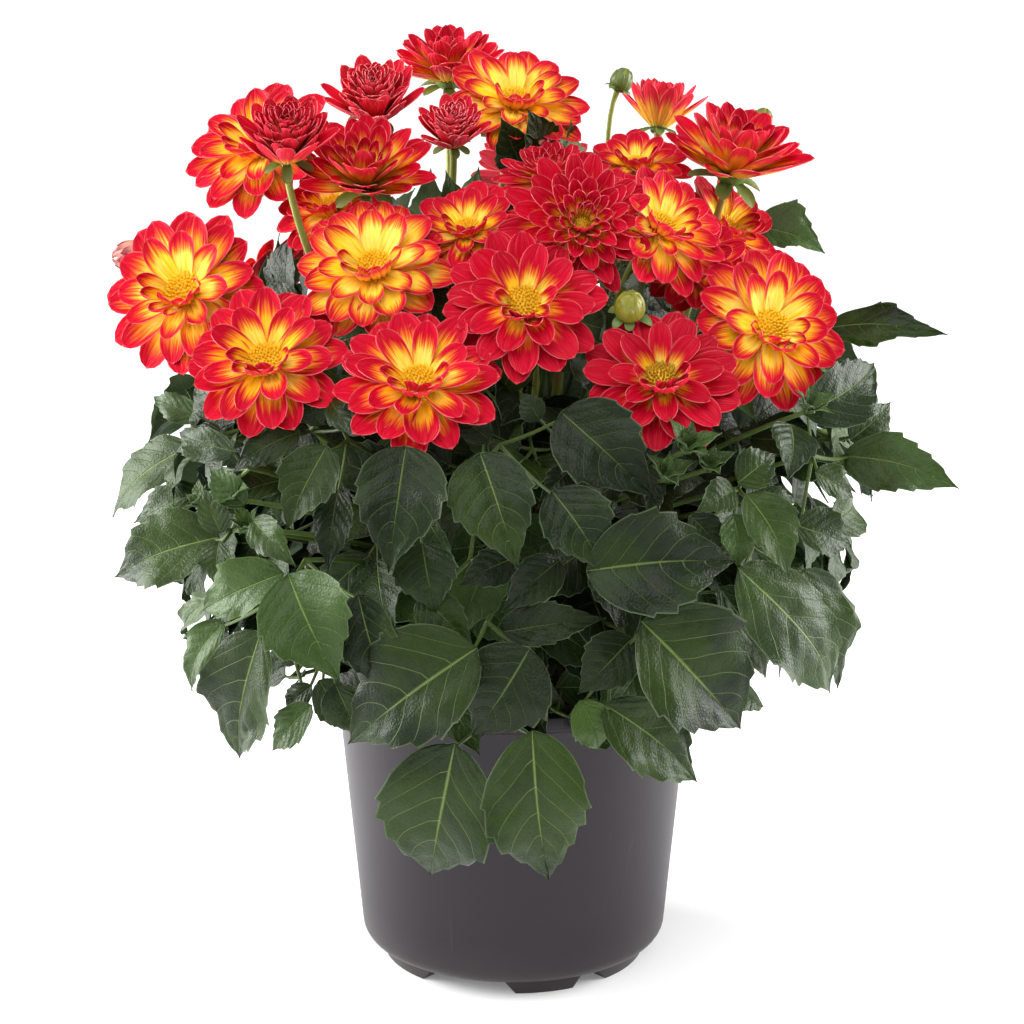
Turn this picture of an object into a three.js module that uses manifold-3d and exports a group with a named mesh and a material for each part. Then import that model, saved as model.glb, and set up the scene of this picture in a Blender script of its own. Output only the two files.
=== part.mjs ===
// A potted dahlia: a compact plant with blooms, buds, leaves and stems, growing in a nursery pot of soil.
// Millimetres, +Z up. The origin is the middle of the circle that the pot stands on. -Y is the front.
import * as THREE from "three";
import { mergeVertices } from "three/addons/utils/BufferGeometryUtils.js";
import Module from "manifold-3d";

const wasm = await Module();
wasm.setup();

// The clearance left wherever one piece rests on another or passes close to it.
const GAP = 0.3;

// The pot, from its feet up to the rim. The wall flares by the same amount on every millimetre of height.
const POT = { height: 160, wall: 2, footRadius: 82, flare: 0.094, sides: 32 };
const POT_CORNER = { radius: 10, steps: 3 };
const RIM = { stand: 2.4, depth: 7, lip: 2 };
const FOOT = { height: 8, outer: 70.5, inner: 62, sink: 0.6 };
// The feet are what stands between notches: each notch's middle and width, in degrees, three times round.
const NOTCHES = [
  { middle: -111, width: 34 },
  { middle: -55, width: 8 },
];
const NOTCH = { repeats: 3, depth: 7, slope: 6, reach: 30, below: 1 };
const DRAIN = { count: 6, radius: 6, circle: 42, depth: 24, sides: 8 };

// The soil, a little higher in the middle than at the wall. Halfway out it has a share of its crown's height.
const SOIL = { top: 142, crown: 5, halfway: 0.7, sides: 24 };

// Where the photograph was taken from. It is 1024 pixels square, and the camera looks down a little.
const PHOTO = { middle: 512, axis: 513.5, focal: 2750, distance: 1450, aimHeight: 242.5, elevation: 14 };

// The leafy mound is an ellipsoid round the pot's axis.
const MOUND = { radius: 212, halfHeight: 178, middle: 250 };

// Each kind of flower head: how far its stem ends below the middle of its face, and its outline from there to
// the top as [outwards, along its axis], all in head radii.
const HEAD_KINDS = {
  open: {
    sides: 12,
    seat: 0.42,
    outline: [[0, -0.42], [0.18, -0.42], [0.25, -0.2], [1, 0.04], [0.93, 0.13], [0, -0.02]],
  },
  double: {
    sides: 12,
    seat: 0.5,
    outline: [[0, -0.5], [0.2, -0.5], [0.27, -0.28], [1, -0.04], [0.88, 0.18], [0, 0.32]],
  },
  cup: {
    sides: 10,
    seat: 0.8,
    outline: [[0, -0.8], [0.22, -0.8], [0.45, -0.5], [1, 0.3], [0.88, 0.44], [0, 0.4]],
  },
  bud: {
    sides: 8,
    seat: 1,
    outline: [[0, -1], [0.4, -1], [0.95, -0.35], [0.9, 0.35], [0, 1.1]],
  },
};
// The last points of each outline are its upper side.
const TOP_POINTS = 2;

// The flower heads in view: the pixel of the middle of the face, how far that lies behind (+) or before (-)
// the pot's axis, the head's radius, its kind and the way that it faces.
const HEADS = [
  { name: "bloom_01", px: 181, py: 290, y: -70, r: 41, kind: "open", face: [-0.35, -0.8, 0.48] },
  { name: "bloom_02", px: 265, py: 359, y: -128, r: 38, kind: "open", face: [-0.15, -0.8, 0.58] },
  { name: "bloom_03", px: 373, py: 266, y: -106, r: 37, kind: "open", face: [-0.1, -0.75, 0.65] },
  { name: "bloom_04", px: 418, py: 381, y: -162, r: 38, kind: "open", face: [0, -0.72, 0.69] },
  { name: "bloom_05", px: 524, py: 303, y: -138, r: 37, kind: "open", face: [0.05, -0.85, 0.52] },
  { name: "bloom_06", px: 662, py: 378, y: -152, r: 36, kind: "open", face: [0.05, -0.75, 0.66] },
  { name: "bloom_07", px: 772, py: 328, y: -112, r: 38, kind: "open", face: [0.3, -0.86, 0.4] },
  { name: "bloom_08", px: 582, py: 222, y: -112, r: 35, kind: "double", face: [0.1, -0.88, 0.46] },
  { name: "bloom_09", px: 467, py: 228, y: -86, r: 29, kind: "open", face: [-0.1, -0.62, 0.78] },
  { name: "bloom_10", px: 664, py: 226, y: -98, r: 34, kind: "open", face: [0.5, -0.62, 0.6] },
  { name: "bloom_11", px: 738, py: 152, y: -28, r: 37, kind: "double", face: [0.25, -0.35, 0.9] },
  { name: "bloom_12", px: 516, py: 99, y: 6, r: 36, kind: "open", face: [0.15, -0.62, 0.77] },
  { name: "bloom_13", px: 448, py: 62, y: 62, r: 31, kind: "double", face: [0, -0.3, 0.95] },
  { name: "bloom_14", px: 373, py: 91, y: -2, r: 25, kind: "cup", face: [0, -0.54, 0.84] },
  { name: "bloom_15", px: 453, py: 123, y: -34, r: 19, kind: "cup", face: [0, -0.54, 0.84] },
  { name: "bloom_16", px: 286, py: 130, y: -72, r: 25, kind: "cup", face: [0.05, -0.52, 0.85] },
  { name: "bloom_17", px: 259, py: 144, y: 4, r: 40, kind: "open", face: [-0.35, -0.65, 0.68] },
  { name: "bloom_18", px: 366, py: 168, y: -62, r: 33, kind: "double", face: [0, -0.6, 0.8] },
  { name: "bloom_19", px: 330, py: 206, y: -22, r: 30, kind: "open", face: [-0.35, -0.6, 0.7] },
  { name: "bloom_20", px: 662, py: 98, y: 42, r: 22, kind: "cup", face: [0.1, 0.1, 1] },
  { name: "bloom_21", px: 637, py: 163, y: -4, r: 27, kind: "open", face: [0, -0.5, 0.86] },
  { name: "bloom_22", px: 728, py: 228, y: -14, r: 32, kind: "open", face: [0.6, -0.55, 0.58] },
  { name: "bloom_23", px: 550, py: 172, y: -46, r: 28, kind: "double", face: [-0.1, -0.35, 0.93] },
  { name: "bloom_24", px: 694, py: 262, y: -62, r: 27, kind: "open", face: [0.1, -0.85, 0.5] },
  { name: "bud_1", px: 622, py: 80, y: 18, r: 6, kind: "bud", face: [0.4, 0, 0.92] },
  { name: "bud_2", px: 630, py: 306, y: -136, r: 7.5, kind: "bud", face: [0.1, -0.6, 0.75] },
  { name: "bud_3", px: 129, py: 256, y: -30, r: 8, kind: "bud", face: [-0.85, -0.3, -0.1] },
  { name: "bud_4", px: 762, py: 120, y: 26, r: 6, kind: "bud", face: [0.3, 0.2, 0.9] },
  { name: "bud_5", px: 535, py: 143, y: -8, r: 8, kind: "bud", face: [0, -0.2, 0.97] },
];

// The flower heads at the back: degrees round the pot's axis, distance from it, height, radius and kind. They
// face outwards and upwards, in the shares 1 and BACK_TILT.
const BACK_HEADS = [
  { name: "bloom_25", angle: 29, reach: 158, z: 350, r: 36, kind: "open" },
  { name: "bloom_26", angle: 60, reach: 158, z: 362, r: 37, kind: "open" },
  { name: "bloom_27", angle: 91, reach: 164, z: 348, r: 38, kind: "open" },
  { name: "bloom_28", angle: 121, reach: 158, z: 360, r: 36, kind: "open" },
  { name: "bloom_29", angle: 151, reach: 158, z: 348, r: 37, kind: "open" },
  { name: "bloom_30", angle: 84, reach: 112, z: 408, r: 33, kind: "double" },
];
const BACK_TILT = 0.6;

// Three cuttings were planted together. Each has one thick stem, and a thinner one for each of its heads.
const CUTTINGS = { count: 3, firstAngle: -90, footRadius: 14, topRadius: 30, topHeight: 262, depth: 16 };
const STEM = { main: 4, flower: 1.9, bud: 1.3, sides: 5, mainSteps: 2, steps: 5 };
// A flower stem leaves the thick one near the top for a head over the pot's axis, and lower for others.
const FORK = { share: 0.95, fall: 0.0042, lowest: 0.2, lean: 0.8, pull: 0.35, neck: 42 };

// A compound leaf: leaflets on stalks that meet at a joint, which a long stalk carries.
const LEAF = { thickness: 1.6, arch: 0.1, fold: 0.1, fullness: 0.75, sides: 4, stations: 4, endRoom: 5 };
const STALK = { radius: 1.3, sides: 4, steps: 2, seat: 3, sag: 0.09 };
// A leaf's stalk leaves the thick stem higher up for a joint higher above the soil.
const STALK_START = { share: 0.25, rise: 0.0021 };

// The leaves in view: the joint, then each leaflet's base and tip, as a pixel and how far out in the mound it
// lies (1 is the mound's surface), and the blade's width as a share of the length that's seen. Where the line
// of sight only grazes the mound, a null and the distance behind the pot's axis are given instead.
const LEAVES = [
  {
    name: "leaf_01",
    joint: [250, 468, 0.86],
    leaflets: [
      { base: [188, 447, null, 15], tip: [107, 515, null, 40], wide: 0.62 },
      { base: [200, 492, null, -20], tip: [132, 522, null, 0], wide: 0.6 },
      { base: [236, 452, 0.98], tip: [174, 430, 1.0], wide: 0.55 },
    ],
  },
  {
    name: "leaf_02",
    joint: [232, 530, 0.92],
    leaflets: [
      { base: [220, 537, null, -70], tip: [114, 577, null, -45], wide: 0.72 },
      { base: [219, 541, 0.98], tip: [217, 588, 1.0], wide: 0.75 },
      { base: [221, 533, 0.99], tip: [203, 487, 1.03], wide: 0.7 },
      { base: [246, 505, 1.0], tip: [208, 466, 1.04], wide: 0.62 },
      { base: [253, 520, 1.02], tip: [294, 566, 1.05], wide: 0.6 },
    ],
  },
  {
    name: "leaf_03",
    joint: [292, 585, 0.88],
    leaflets: [
      { base: [284, 573, 0.97], tip: [200, 611, 1.0], wide: 0.62 },
      { base: [225, 622, 0.88], tip: [187, 692, null, -95], wide: 0.5 },
    ],
  },
  {
    name: "leaf_04",
    joint: [290, 640, 0.84],
    leaflets: [
      { base: [261, 631, 1.0], tip: [237, 760, 1.05], wide: 0.64 },
      { base: [312, 705, 0.93], tip: [271, 751, null, -135], wide: 0.6 },
    ],
  },
  {
    name: "leaf_05",
    joint: [305, 560, 0.9],
    leaflets: [
      { base: [288, 574, 1.03], tip: [339, 682, 1.07], wide: 0.82 },
      { base: [358, 594, 0.97], tip: [391, 699, 1.0], wide: 0.52 },
      { base: [335, 684, 0.96], tip: [358, 737, 0.98], wide: 0.75 },
    ],
  },
  {
    name: "leaf_06",
    joint: [348, 440, 0.84],
    leaflets: [
      { base: [327, 446, 1.0], tip: [284, 529, 1.04], wide: 0.66 },
      { base: [338, 490, 0.93], tip: [328, 571, 0.95], wide: 0.5 },
      { base: [330, 400, 0.9], tip: [362, 436, 0.95], wide: 0.6 },
    ],
  },
  {
    name: "leaf_07",
    joint: [410, 455, 0.86],
    leaflets: [
      { base: [406, 446, 1.01], tip: [388, 573, 1.05], wide: 0.72 },
      { base: [422, 543, 0.93], tip: [436, 613, 0.95], wide: 0.9 },
    ],
  },
  {
    name: "leaf_08",
    joint: [487, 622, 0.92],
    leaflets: [
      { base: [477, 648, 1.0], tip: [343, 746, 1.05], wide: 0.7 },
      { base: [530, 648, 0.96], tip: [472, 736, 1.0], wide: 0.9 },
      { base: [497, 633, 0.91], tip: [606, 618, 0.93], wide: 0.4 },
    ],
  },
  {
    name: "leaf_09",
    joint: [495, 712, 0.9],
    leaflets: [
      { base: [455, 743, 1.02], tip: [427, 882, 1.17], wide: 0.86 },
      { base: [532, 730, 1.02], tip: [550, 885, 1.19], wide: 0.67 },
    ],
  },
  {
    name: "leaf_10",
    joint: [500, 445, 0.86],
    leaflets: [
      { base: [480, 453, 0.98], tip: [518, 569, 1.02], wide: 0.7 },
      { base: [552, 491, 0.96], tip: [606, 574, 1.0], wide: 0.72 },
      { base: [561, 412, 0.92], tip: [655, 498, 0.96], wide: 0.7 },
    ],
  },
  {
    name: "leaf_11",
    joint: [640, 588, 0.86],
    leaflets: [
      { base: [586, 571, 0.99], tip: [738, 561, 1.03], wide: 0.68 },
      { base: [719, 587, 0.9], tip: [769, 680, 0.93], wide: 0.5 },
    ],
  },
  {
    name: "leaf_12",
    joint: [612, 660, 0.88],
    leaflets: [
      { base: [641, 621, 1.02], tip: [748, 732, 1.08], wide: 0.82 },
      { base: [604, 704, 0.94], tip: [697, 782, 1.02], wide: 0.6 },
      { base: [580, 700, 0.93], tip: [600, 752, 0.96], wide: 0.8 },
    ],
  },
  {
    name: "leaf_13",
    joint: [752, 548, 0.88],
    leaflets: [
      { base: [738, 568, 1.02], tip: [843, 697, 1.06], wide: 0.62 },
      { base: [802, 570, 0.94], tip: [847, 692, null, -110], wide: 0.5 },
    ],
  },
  {
    name: "leaf_14",
    joint: [738, 489, 0.98],
    leaflets: [
      { base: [738, 483, 1.03], tip: [778, 453, 1.05], wide: 0.85 },
      { base: [734, 490, 1.03], tip: [697, 512, 1.05], wide: 0.85 },
      { base: [746, 494, 1.03], tip: [791, 577, 1.07], wide: 0.58 },
    ],
  },
  {
    name: "leaf_15",
    joint: [812, 455, 0.9],
    leaflets: [
      { base: [843, 456, null, -70], tip: [960, 485, null, -85], wide: 0.56 },
      { base: [804, 415, 0.98], tip: [881, 360, null, -85], wide: 0.68 },
      { base: [815, 472, 0.95], tip: [855, 498, 0.97], wide: 0.7 },
      { base: [791, 425, 1.0], tip: [789, 479, 1.03], wide: 0.95 },
      { base: [795, 525, 0.92], tip: [852, 545, null, -122], wide: 0.8 },
    ],
  },
  {
    name: "leaf_16",
    joint: [790, 320, 0.82],
    leaflets: [
      { base: [826, 328, null, -24], tip: [947, 333, null, -55], wide: 0.45 },
      { base: [753, 227, 0.84], tip: [826, 250, 0.9], wide: 0.8 },
    ],
  },
];

// The leaves at the back and sides: the joint's angle round the pot's axis in degrees, its height, how far
// out the leaf spreads, and how many degrees it leans aside in each millimetre downwards.
const BACK_LEAVES = [
  { name: "leaf_17", angle: 30, z: 284, spread: 1, lean: 0.07 },
  { name: "leaf_18", angle: 70, z: 300, spread: 1.075, lean: -0.05 },
  { name: "leaf_19", angle: 110, z: 288, spread: 1.075, lean: 0.08 },
  { name: "leaf_20", angle: 150, z: 302, spread: 1, lean: -0.07 },
];
// Their leaflets, as degrees and millimetres up from the joint: three pairs, and one at the end.
const BACK_LEAFLETS = [
  { base: [4, 22], tip: [20, 46], wide: 0.66 },
  { base: [-4, 20], tip: [-21, 34], wide: 0.6 },
  { base: [5, -12], tip: [23, -28], wide: 0.62 },
  { base: [-5, -18], tip: [-22, -44], wide: 0.68 },
  { base: [3, -52], tip: [21, -90], wide: 0.64 },
  { base: [-3, -58], tip: [-18, -106], wide: 0.58 },
  { base: [0, -74], tip: [0, -148], wide: 0.68 },
];
// How far out in the mound a spread of 1 reaches.
const BACK_DEPTH = { joint: 0.82, base: 0.9, tip: 0.95 };
// A blade's upper side faces outwards, upwards, and to the front (or to the back), in these shares.
const BLADE_FACING = { out: 0.7, up: 0.45, front: 0.6 };

const COLORS = {
  pot: { color: 0x474144, roughness: 0.5 },
  soil: { color: 0x35261b, roughness: 1 },
  stem: { color: 0x7d8f35, roughness: 0.6 },
  bloom: { color: 0xd5213a, roughness: 0.6 },
  bud: { color: 0x8f9a3c, roughness: 0.6 },
  leaf: { color: 0x2f4a24, roughness: 0.5 },
};

const UP = new THREE.Vector3(0, 0, 1);
const FRONT = new THREE.Vector3(0, -1, 0);
const BACK = new THREE.Vector3(0, 1, 0);
const FULL_TURN = 2 * Math.PI;

const vector = (values) => new THREE.Vector3(...values);
const level = (point) => new THREE.Vector3(point.x, point.y, 0);

// A closed geometry as a solid that can be joined and cut. Triangles that shrank to a line are dropped.
function solidOf(geometry) {
  const bare = geometry.clone();
  bare.deleteAttribute("normal");
  bare.deleteAttribute("uv");
  const { attributes, index } = mergeVertices(bare);
  const triVerts = [];
  for (let i = 0; i < index.count; i += 3) {
    const [a, b, c] = index.array.slice(i, i + 3);
    if (a !== b && b !== c && c !== a) triVerts.push(a, b, c);
  }
  const vertProperties = new Float32Array(attributes.position.array);
  const mesh = new wasm.Mesh({ numProp: 3, vertProperties, triVerts: new Uint32Array(triVerts) });
  return new wasm.Manifold(mesh);
}

function joined(solids) {
  return solids.reduce((whole, solid) => whole.add(solid));
}

// A turned solid: the outline is [radius, height] pairs, anticlockwise when the axis is on its left.
function turned(outline, sides) {
  const points = outline.map(([radius, height]) => new THREE.Vector2(radius, height));
  return new THREE.LatheGeometry(points, sides).rotateX(Math.PI / 2);
}

function tube(curve, radius, sides, steps) {
  const middle = new THREE.Vector2();
  const corners = Array.from({ length: sides }, (_, i) => {
    return new THREE.Vector2(radius, 0).rotateAround(middle, (FULL_TURN * i) / sides);
  });
  const section = new THREE.Shape(corners);
  return solidOf(new THREE.ExtrudeGeometry(section, { extrudePath: curve, steps, bevelEnabled: false }));
}

// The line of sight through a pixel of the photograph.
const pitch = THREE.MathUtils.degToRad(PHOTO.elevation);
const eye = new THREE.Vector3(
  0,
  -PHOTO.distance * Math.cos(pitch),
  PHOTO.aimHeight + PHOTO.distance * Math.sin(pitch),
);

function sightLine(px, py) {
  const across = (px - PHOTO.axis) / PHOTO.focal;
  const up = (PHOTO.middle - py) / PHOTO.focal;
  return new THREE.Vector3(
    across,
    Math.cos(pitch) + up * Math.sin(pitch),
    up * Math.cos(pitch) - Math.sin(pitch),
  );
}

function pointAtDepth(px, py, y) {
  const ray = sightLine(px, py);
  return eye.clone().addScaledVector(ray, (y - eye.y) / ray.y);
}

// The point seen at a pixel on the front of the mound, or the one nearest the mound where it is passed by.
const moundScale = new THREE.Vector3(1 / MOUND.radius, 1 / MOUND.radius, 1 / MOUND.halfHeight);

function pointOnMound([px, py, out, y]) {
  if (out === null) return pointAtDepth(px, py, y);
  const ray = sightLine(px, py);
  const scaledRay = ray.clone().multiply(moundScale);
  const start = eye.clone().addScaledVector(UP, -MOUND.middle).multiply(moundScale);
  const nearest = -start.dot(scaledRay) / scaledRay.lengthSq();
  const miss = start.clone().addScaledVector(scaledRay, nearest).lengthSq();
  const inside = Math.sqrt(Math.max(0, out * out - miss) / scaledRay.lengthSq());
  return eye.clone().addScaledVector(ray, nearest - inside);
}

// The pot. Its wall and floor are one turned solid, and the ring of feet below is cut away at the notches.
const wallRadius = (z) => POT.footRadius + POT.flare * (z - FOOT.height - POT_CORNER.radius);

function cornerArc(radius) {
  const middle = { r: POT.footRadius - POT_CORNER.radius, z: FOOT.height + POT_CORNER.radius };
  return Array.from({ length: POT_CORNER.steps + 1 }, (_, i) => {
    const angle = -Math.PI / 2 + (Math.PI / 2) * (i / POT_CORNER.steps);
    return [middle.r + radius * Math.cos(angle), middle.z + radius * Math.sin(angle)];
  });
}

function makePot() {
  const rimRadius = wallRadius(POT.height) + RIM.stand;
  const rimFoot = POT.height - RIM.depth;
  const outside = [
    [0, FOOT.height],
    ...cornerArc(POT_CORNER.radius),
    [wallRadius(rimFoot - RIM.stand), rimFoot - RIM.stand],
    [rimRadius, rimFoot],
    [rimRadius, POT.height - RIM.lip / 2],
    [rimRadius - RIM.lip / 2, POT.height],
  ];
  const inside = [
    [0, FOOT.height + POT.wall],
    ...cornerArc(POT_CORNER.radius - POT.wall),
    [wallRadius(POT.height) - POT.wall, POT.height],
  ];
  const shell = solidOf(turned([...outside, ...inside.reverse()], POT.sides));
  const ringTop = FOOT.height + FOOT.sink;
  const ring = [
    [FOOT.inner, 0],
    [FOOT.outer, 0],
    [FOOT.outer, ringTop],
    [FOOT.inner, ringTop],
    [FOOT.inner, 0],
  ];
  let feet = solidOf(turned(ring, POT.sides));
  for (let i = 0; i < NOTCH.repeats; i++) {
    for (const notch of NOTCHES) {
      const turn = notch.middle + (360 * i) / NOTCH.repeats;
      feet = feet.subtract(notchCutter(notch.width, THREE.MathUtils.degToRad(turn)));
    }
  }
  let pot = shell.add(feet);
  for (let i = 0; i < DRAIN.count; i++) {
    const angle = (FULL_TURN * i) / DRAIN.count;
    const hole = new THREE.CylinderGeometry(DRAIN.radius, DRAIN.radius, DRAIN.depth, DRAIN.sides);
    hole.rotateX(Math.PI / 2);
    hole.translate(DRAIN.circle * Math.cos(angle), DRAIN.circle * Math.sin(angle), FOOT.height);
    pot = pot.subtract(solidOf(hole));
  }
  return pot;
}

// The room that the pot takes up with all that it holds.
function makePotRoom() {
  const rimRadius = wallRadius(POT.height) + RIM.stand + GAP;
  const outline = [
    [0, -GAP],
    [wallRadius(0), -GAP],
    [rimRadius, POT.height - RIM.depth - RIM.stand],
    [rimRadius, POT.height + GAP],
    [0, POT.height + GAP],
  ];
  return solidOf(turned(outline, POT.sides));
}

// What is cut out of the ring of feet: a bar lying outwards along the angle, wider at the bottom.
function notchCutter(width, angle) {
  const half = (THREE.MathUtils.degToRad(width) * FOOT.outer) / 2;
  const wideHalf = half + NOTCH.slope;
  const section = new THREE.Shape([
    new THREE.Vector2(-wideHalf, -NOTCH.below),
    new THREE.Vector2(wideHalf, -NOTCH.below),
    new THREE.Vector2(half, NOTCH.depth),
    new THREE.Vector2(-half, NOTCH.depth),
  ]);
  const bar = new THREE.ExtrudeGeometry(section, { depth: NOTCH.reach, bevelEnabled: false });
  bar.rotateX(Math.PI / 2);
  bar.rotateZ(Math.PI / 2);
  bar.translate(FOOT.outer - NOTCH.reach / 2, 0, 0);
  return solidOf(bar.rotateZ(angle));
}

// The soil fills the pot up to a little below the rim, GAP clear of the wall and floor.
function makeSoil() {
  const outline = [
    [0, FOOT.height + POT.wall + GAP],
    ...cornerArc(POT_CORNER.radius - POT.wall - GAP),
    [wallRadius(SOIL.top) - POT.wall - GAP, SOIL.top],
    [wallRadius(SOIL.top) / 2, SOIL.top + SOIL.halfway * SOIL.crown],
    [0, SOIL.top + SOIL.crown],
  ];
  return solidOf(turned(outline, SOIL.sides));
}

// The flower heads. Each becomes a point in space, the way that it faces, its radius and its kind.
function headInView({ name, px, py, y, r, kind, face }) {
  return { name, r, kind, point: pointAtDepth(px, py, y), axis: vector(face).normalize() };
}

function headAtBack({ name, angle, reach, z, r, kind }) {
  const outwards = new THREE.Vector3(1, 0, 0).applyAxisAngle(UP, THREE.MathUtils.degToRad(angle));
  const point = outwards.clone().multiplyScalar(reach).addScaledVector(UP, z);
  return { name, r, kind, point, axis: outwards.addScaledVector(UP, BACK_TILT).normalize() };
}

const heads = [...HEADS.map(headInView), ...BACK_HEADS.map(headAtBack)];

function makeHead({ point, axis, r, kind }, growth) {
  const { sides, outline } = HEAD_KINDS[kind];
  const size = r + growth;
  const grown = outline.map(([outwards, along], i) => {
    const isTop = i >= outline.length - TOP_POINTS;
    return [outwards * size, along * r + (isTop ? growth : -growth)];
  });
  const shape = turned(grown, sides);
  shape.applyQuaternion(new THREE.Quaternion().setFromUnitVectors(UP, axis));
  return solidOf(shape.translate(point.x, point.y, point.z));
}

// The cuttings' thick stems, and the way from the pot's axis to each.
const cuttings = Array.from({ length: CUTTINGS.count }, (_, i) => {
  const angle = THREE.MathUtils.degToRad(CUTTINGS.firstAngle + (360 * i) / CUTTINGS.count);
  const outwards = new THREE.Vector3(1, 0, 0).applyAxisAngle(UP, angle);
  const foot = outwards.clone().multiplyScalar(CUTTINGS.footRadius).setZ(SOIL.top - CUTTINGS.depth);
  const top = outwards.clone().multiplyScalar(CUTTINGS.topRadius).setZ(CUTTINGS.topHeight);
  return { outwards, stem: new THREE.LineCurve3(foot, top) };
});

function nearestCutting(point) {
  const nearness = ({ outwards }) => outwards.dot(level(point));
  return cuttings.reduce((best, other) => (nearness(other) > nearness(best) ? other : best));
}

// A flower stem ends under its head, in line with it.
function flowerStem(head, stem) {
  const seat = HEAD_KINDS[head.kind].seat * head.r + GAP;
  const end = head.point.clone().addScaledVector(head.axis, -seat);
  const reach = level(end).length();
  const start = stem.getPoint(Math.max(FORK.lowest, FORK.share - FORK.fall * reach));
  const length = start.distanceTo(end);
  const leaving = level(end).sub(level(start)).normalize().multiplyScalar(FORK.lean).add(UP).normalize();
  const bendOut = start.clone().addScaledVector(leaving, FORK.pull * length);
  const neck = Math.min(FORK.neck, FORK.pull * length);
  const bendIn = end.clone().addScaledVector(head.axis, -neck);
  return new THREE.CubicBezierCurve3(start, bendOut, bendIn, end);
}

// The stems of one cutting, joined into one piece.
function makeCutting(cutting, growth) {
  const stems = [tube(cutting.stem, STEM.main + growth, STEM.sides, STEM.mainSteps)];
  for (const head of heads.filter(({ point }) => nearestCutting(point) === cutting)) {
    const radius = head.kind === "bud" ? STEM.bud : STEM.flower;
    stems.push(tube(flowerStem(head, cutting.stem), radius + growth, STEM.sides, STEM.steps));
  }
  return joined(stems);
}

// The directions along a blade, out of its upper side and across it, and its length.
function bladeFrame({ base, tip, front }) {
  const along = tip.clone().sub(base).normalize();
  const facing = level(base.clone().lerp(tip, 0.5)).normalize().multiplyScalar(BLADE_FACING.out);
  facing.addScaledVector(UP, BLADE_FACING.up).addScaledVector(front, BLADE_FACING.front);
  const normal = facing.addScaledVector(along, -facing.dot(along)).normalize();
  return { along, normal, across: normal.clone().cross(along), length: base.distanceTo(tip) };
}

// A leaflet's blade: a flat lens between base and tip, widest nearer its base, arched lengthwise and folded
// upwards along its midrib.
function makeBlade(leaflet, growth) {
  const { along, normal, across, length } = bladeFrame(leaflet);
  const midrib = (row) => {
    const share = row / LEAF.stations;
    const point = leaflet.base.clone().addScaledVector(along, share * length);
    return point.addScaledVector(normal, LEAF.arch * length * Math.sin(Math.PI * share));
  };
  const blade = new THREE.SphereGeometry(1, LEAF.sides, LEAF.stations);
  const position = blade.attributes.position;
  for (let i = 0; i < position.count; i++) {
    const row = Math.floor(i / (LEAF.sides + 1));
    const turn = (FULL_TURN * (i % (LEAF.sides + 1))) / LEAF.sides;
    const share = row / LEAF.stations;
    const point = midrib(row);
    if (row === 0 || row === LEAF.stations) {
      const beside = midrib(row === 0 ? 1 : row - 1);
      point.addScaledVector(point.clone().sub(beside).normalize(), LEAF.endRoom * growth);
    } else {
      const halfWidth = (leaflet.wide * length * Math.sin(Math.PI * share ** LEAF.fullness)) / 2 + growth;
      const halfThick = (LEAF.thickness * Math.sin(Math.PI * share)) / 2 + growth;
      const rise = LEAF.fold * Math.abs(Math.cos(turn)) * halfWidth - Math.sin(turn) * halfThick;
      point.addScaledVector(across, Math.cos(turn) * halfWidth).addScaledVector(normal, rise);
    }
    position.setXYZ(i, point.x, point.y, point.z);
  }
  return solidOf(blade);
}

// A whole leaf, whose stalk starts inside the nearest thick stem and is cut off clear of it.
function makeLeaf({ joint, leaflets }, growth) {
  const { stem } = nearestCutting(joint);
  const height = STALK_START.share + STALK_START.rise * (joint.z - SOIL.top);
  const start = stem.getPoint(Math.min(1, height));
  const bend = start.clone().lerp(joint, 0.5).addScaledVector(UP, STALK.sag * start.distanceTo(joint));
  const stalk = new THREE.QuadraticBezierCurve3(start, bend, joint);
  const pieces = [tube(stalk, STALK.radius + growth, STALK.sides, STALK.steps)];
  for (const leaflet of leaflets) {
    const { along, normal } = bladeFrame(leaflet);
    const rise = along.addScaledVector(normal, Math.PI * LEAF.arch).multiplyScalar(STALK.seat);
    const branch = new THREE.LineCurve3(joint, leaflet.base.clone().add(rise));
    pieces.push(tube(branch, STALK.radius + growth, STALK.sides, 1), makeBlade(leaflet, growth));
  }
  return joined(pieces);
}

// A leaflet in view. Its width becomes a share of its true length, which is more than is seen of it.
function leafletInView({ base, tip, wide }) {
  const ends = { base: pointOnMound(base), tip: pointOnMound(tip) };
  const along = ends.tip.clone().sub(ends.base);
  const sight = ends.base.clone().lerp(ends.tip, 0.5).sub(eye);
  const seen = along.clone().projectOnPlane(sight.normalize()).length();
  return { ...ends, wide: (wide * seen) / along.length(), front: FRONT };
}

const leavesInView = LEAVES.map(({ name, joint, leaflets }) => ({
  name,
  joint: pointOnMound(joint),
  leaflets: leaflets.map(leafletInView),
}));

function pointAtAngle(angle, z, out) {
  const radius = MOUND.radius * Math.sqrt(1 - ((z - MOUND.middle) / MOUND.halfHeight) ** 2);
  const outwards = new THREE.Vector3(1, 0, 0).applyAxisAngle(UP, THREE.MathUtils.degToRad(angle));
  return outwards.multiplyScalar(out * radius).setZ(z);
}

const leavesAtBack = BACK_LEAVES.map(({ name, angle, z, spread, lean }) => ({
  name,
  joint: pointAtAngle(angle, z, spread * BACK_DEPTH.joint),
  leaflets: BACK_LEAFLETS.map(({ base, tip, wide }) => ({
    base: pointAtAngle(angle + base[0] - lean * base[1], z + base[1], spread * BACK_DEPTH.base),
    tip: pointAtAngle(angle + tip[0] - lean * tip[1], z + tip[1], spread * BACK_DEPTH.tip),
    wide,
    front: BACK,
  })),
}));

// The pieces are put together in turn. Each is cut back to stay GAP clear of those already in place, and what
// the cuts leave over beside its largest body is dropped.
const inPlace = [];

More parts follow.
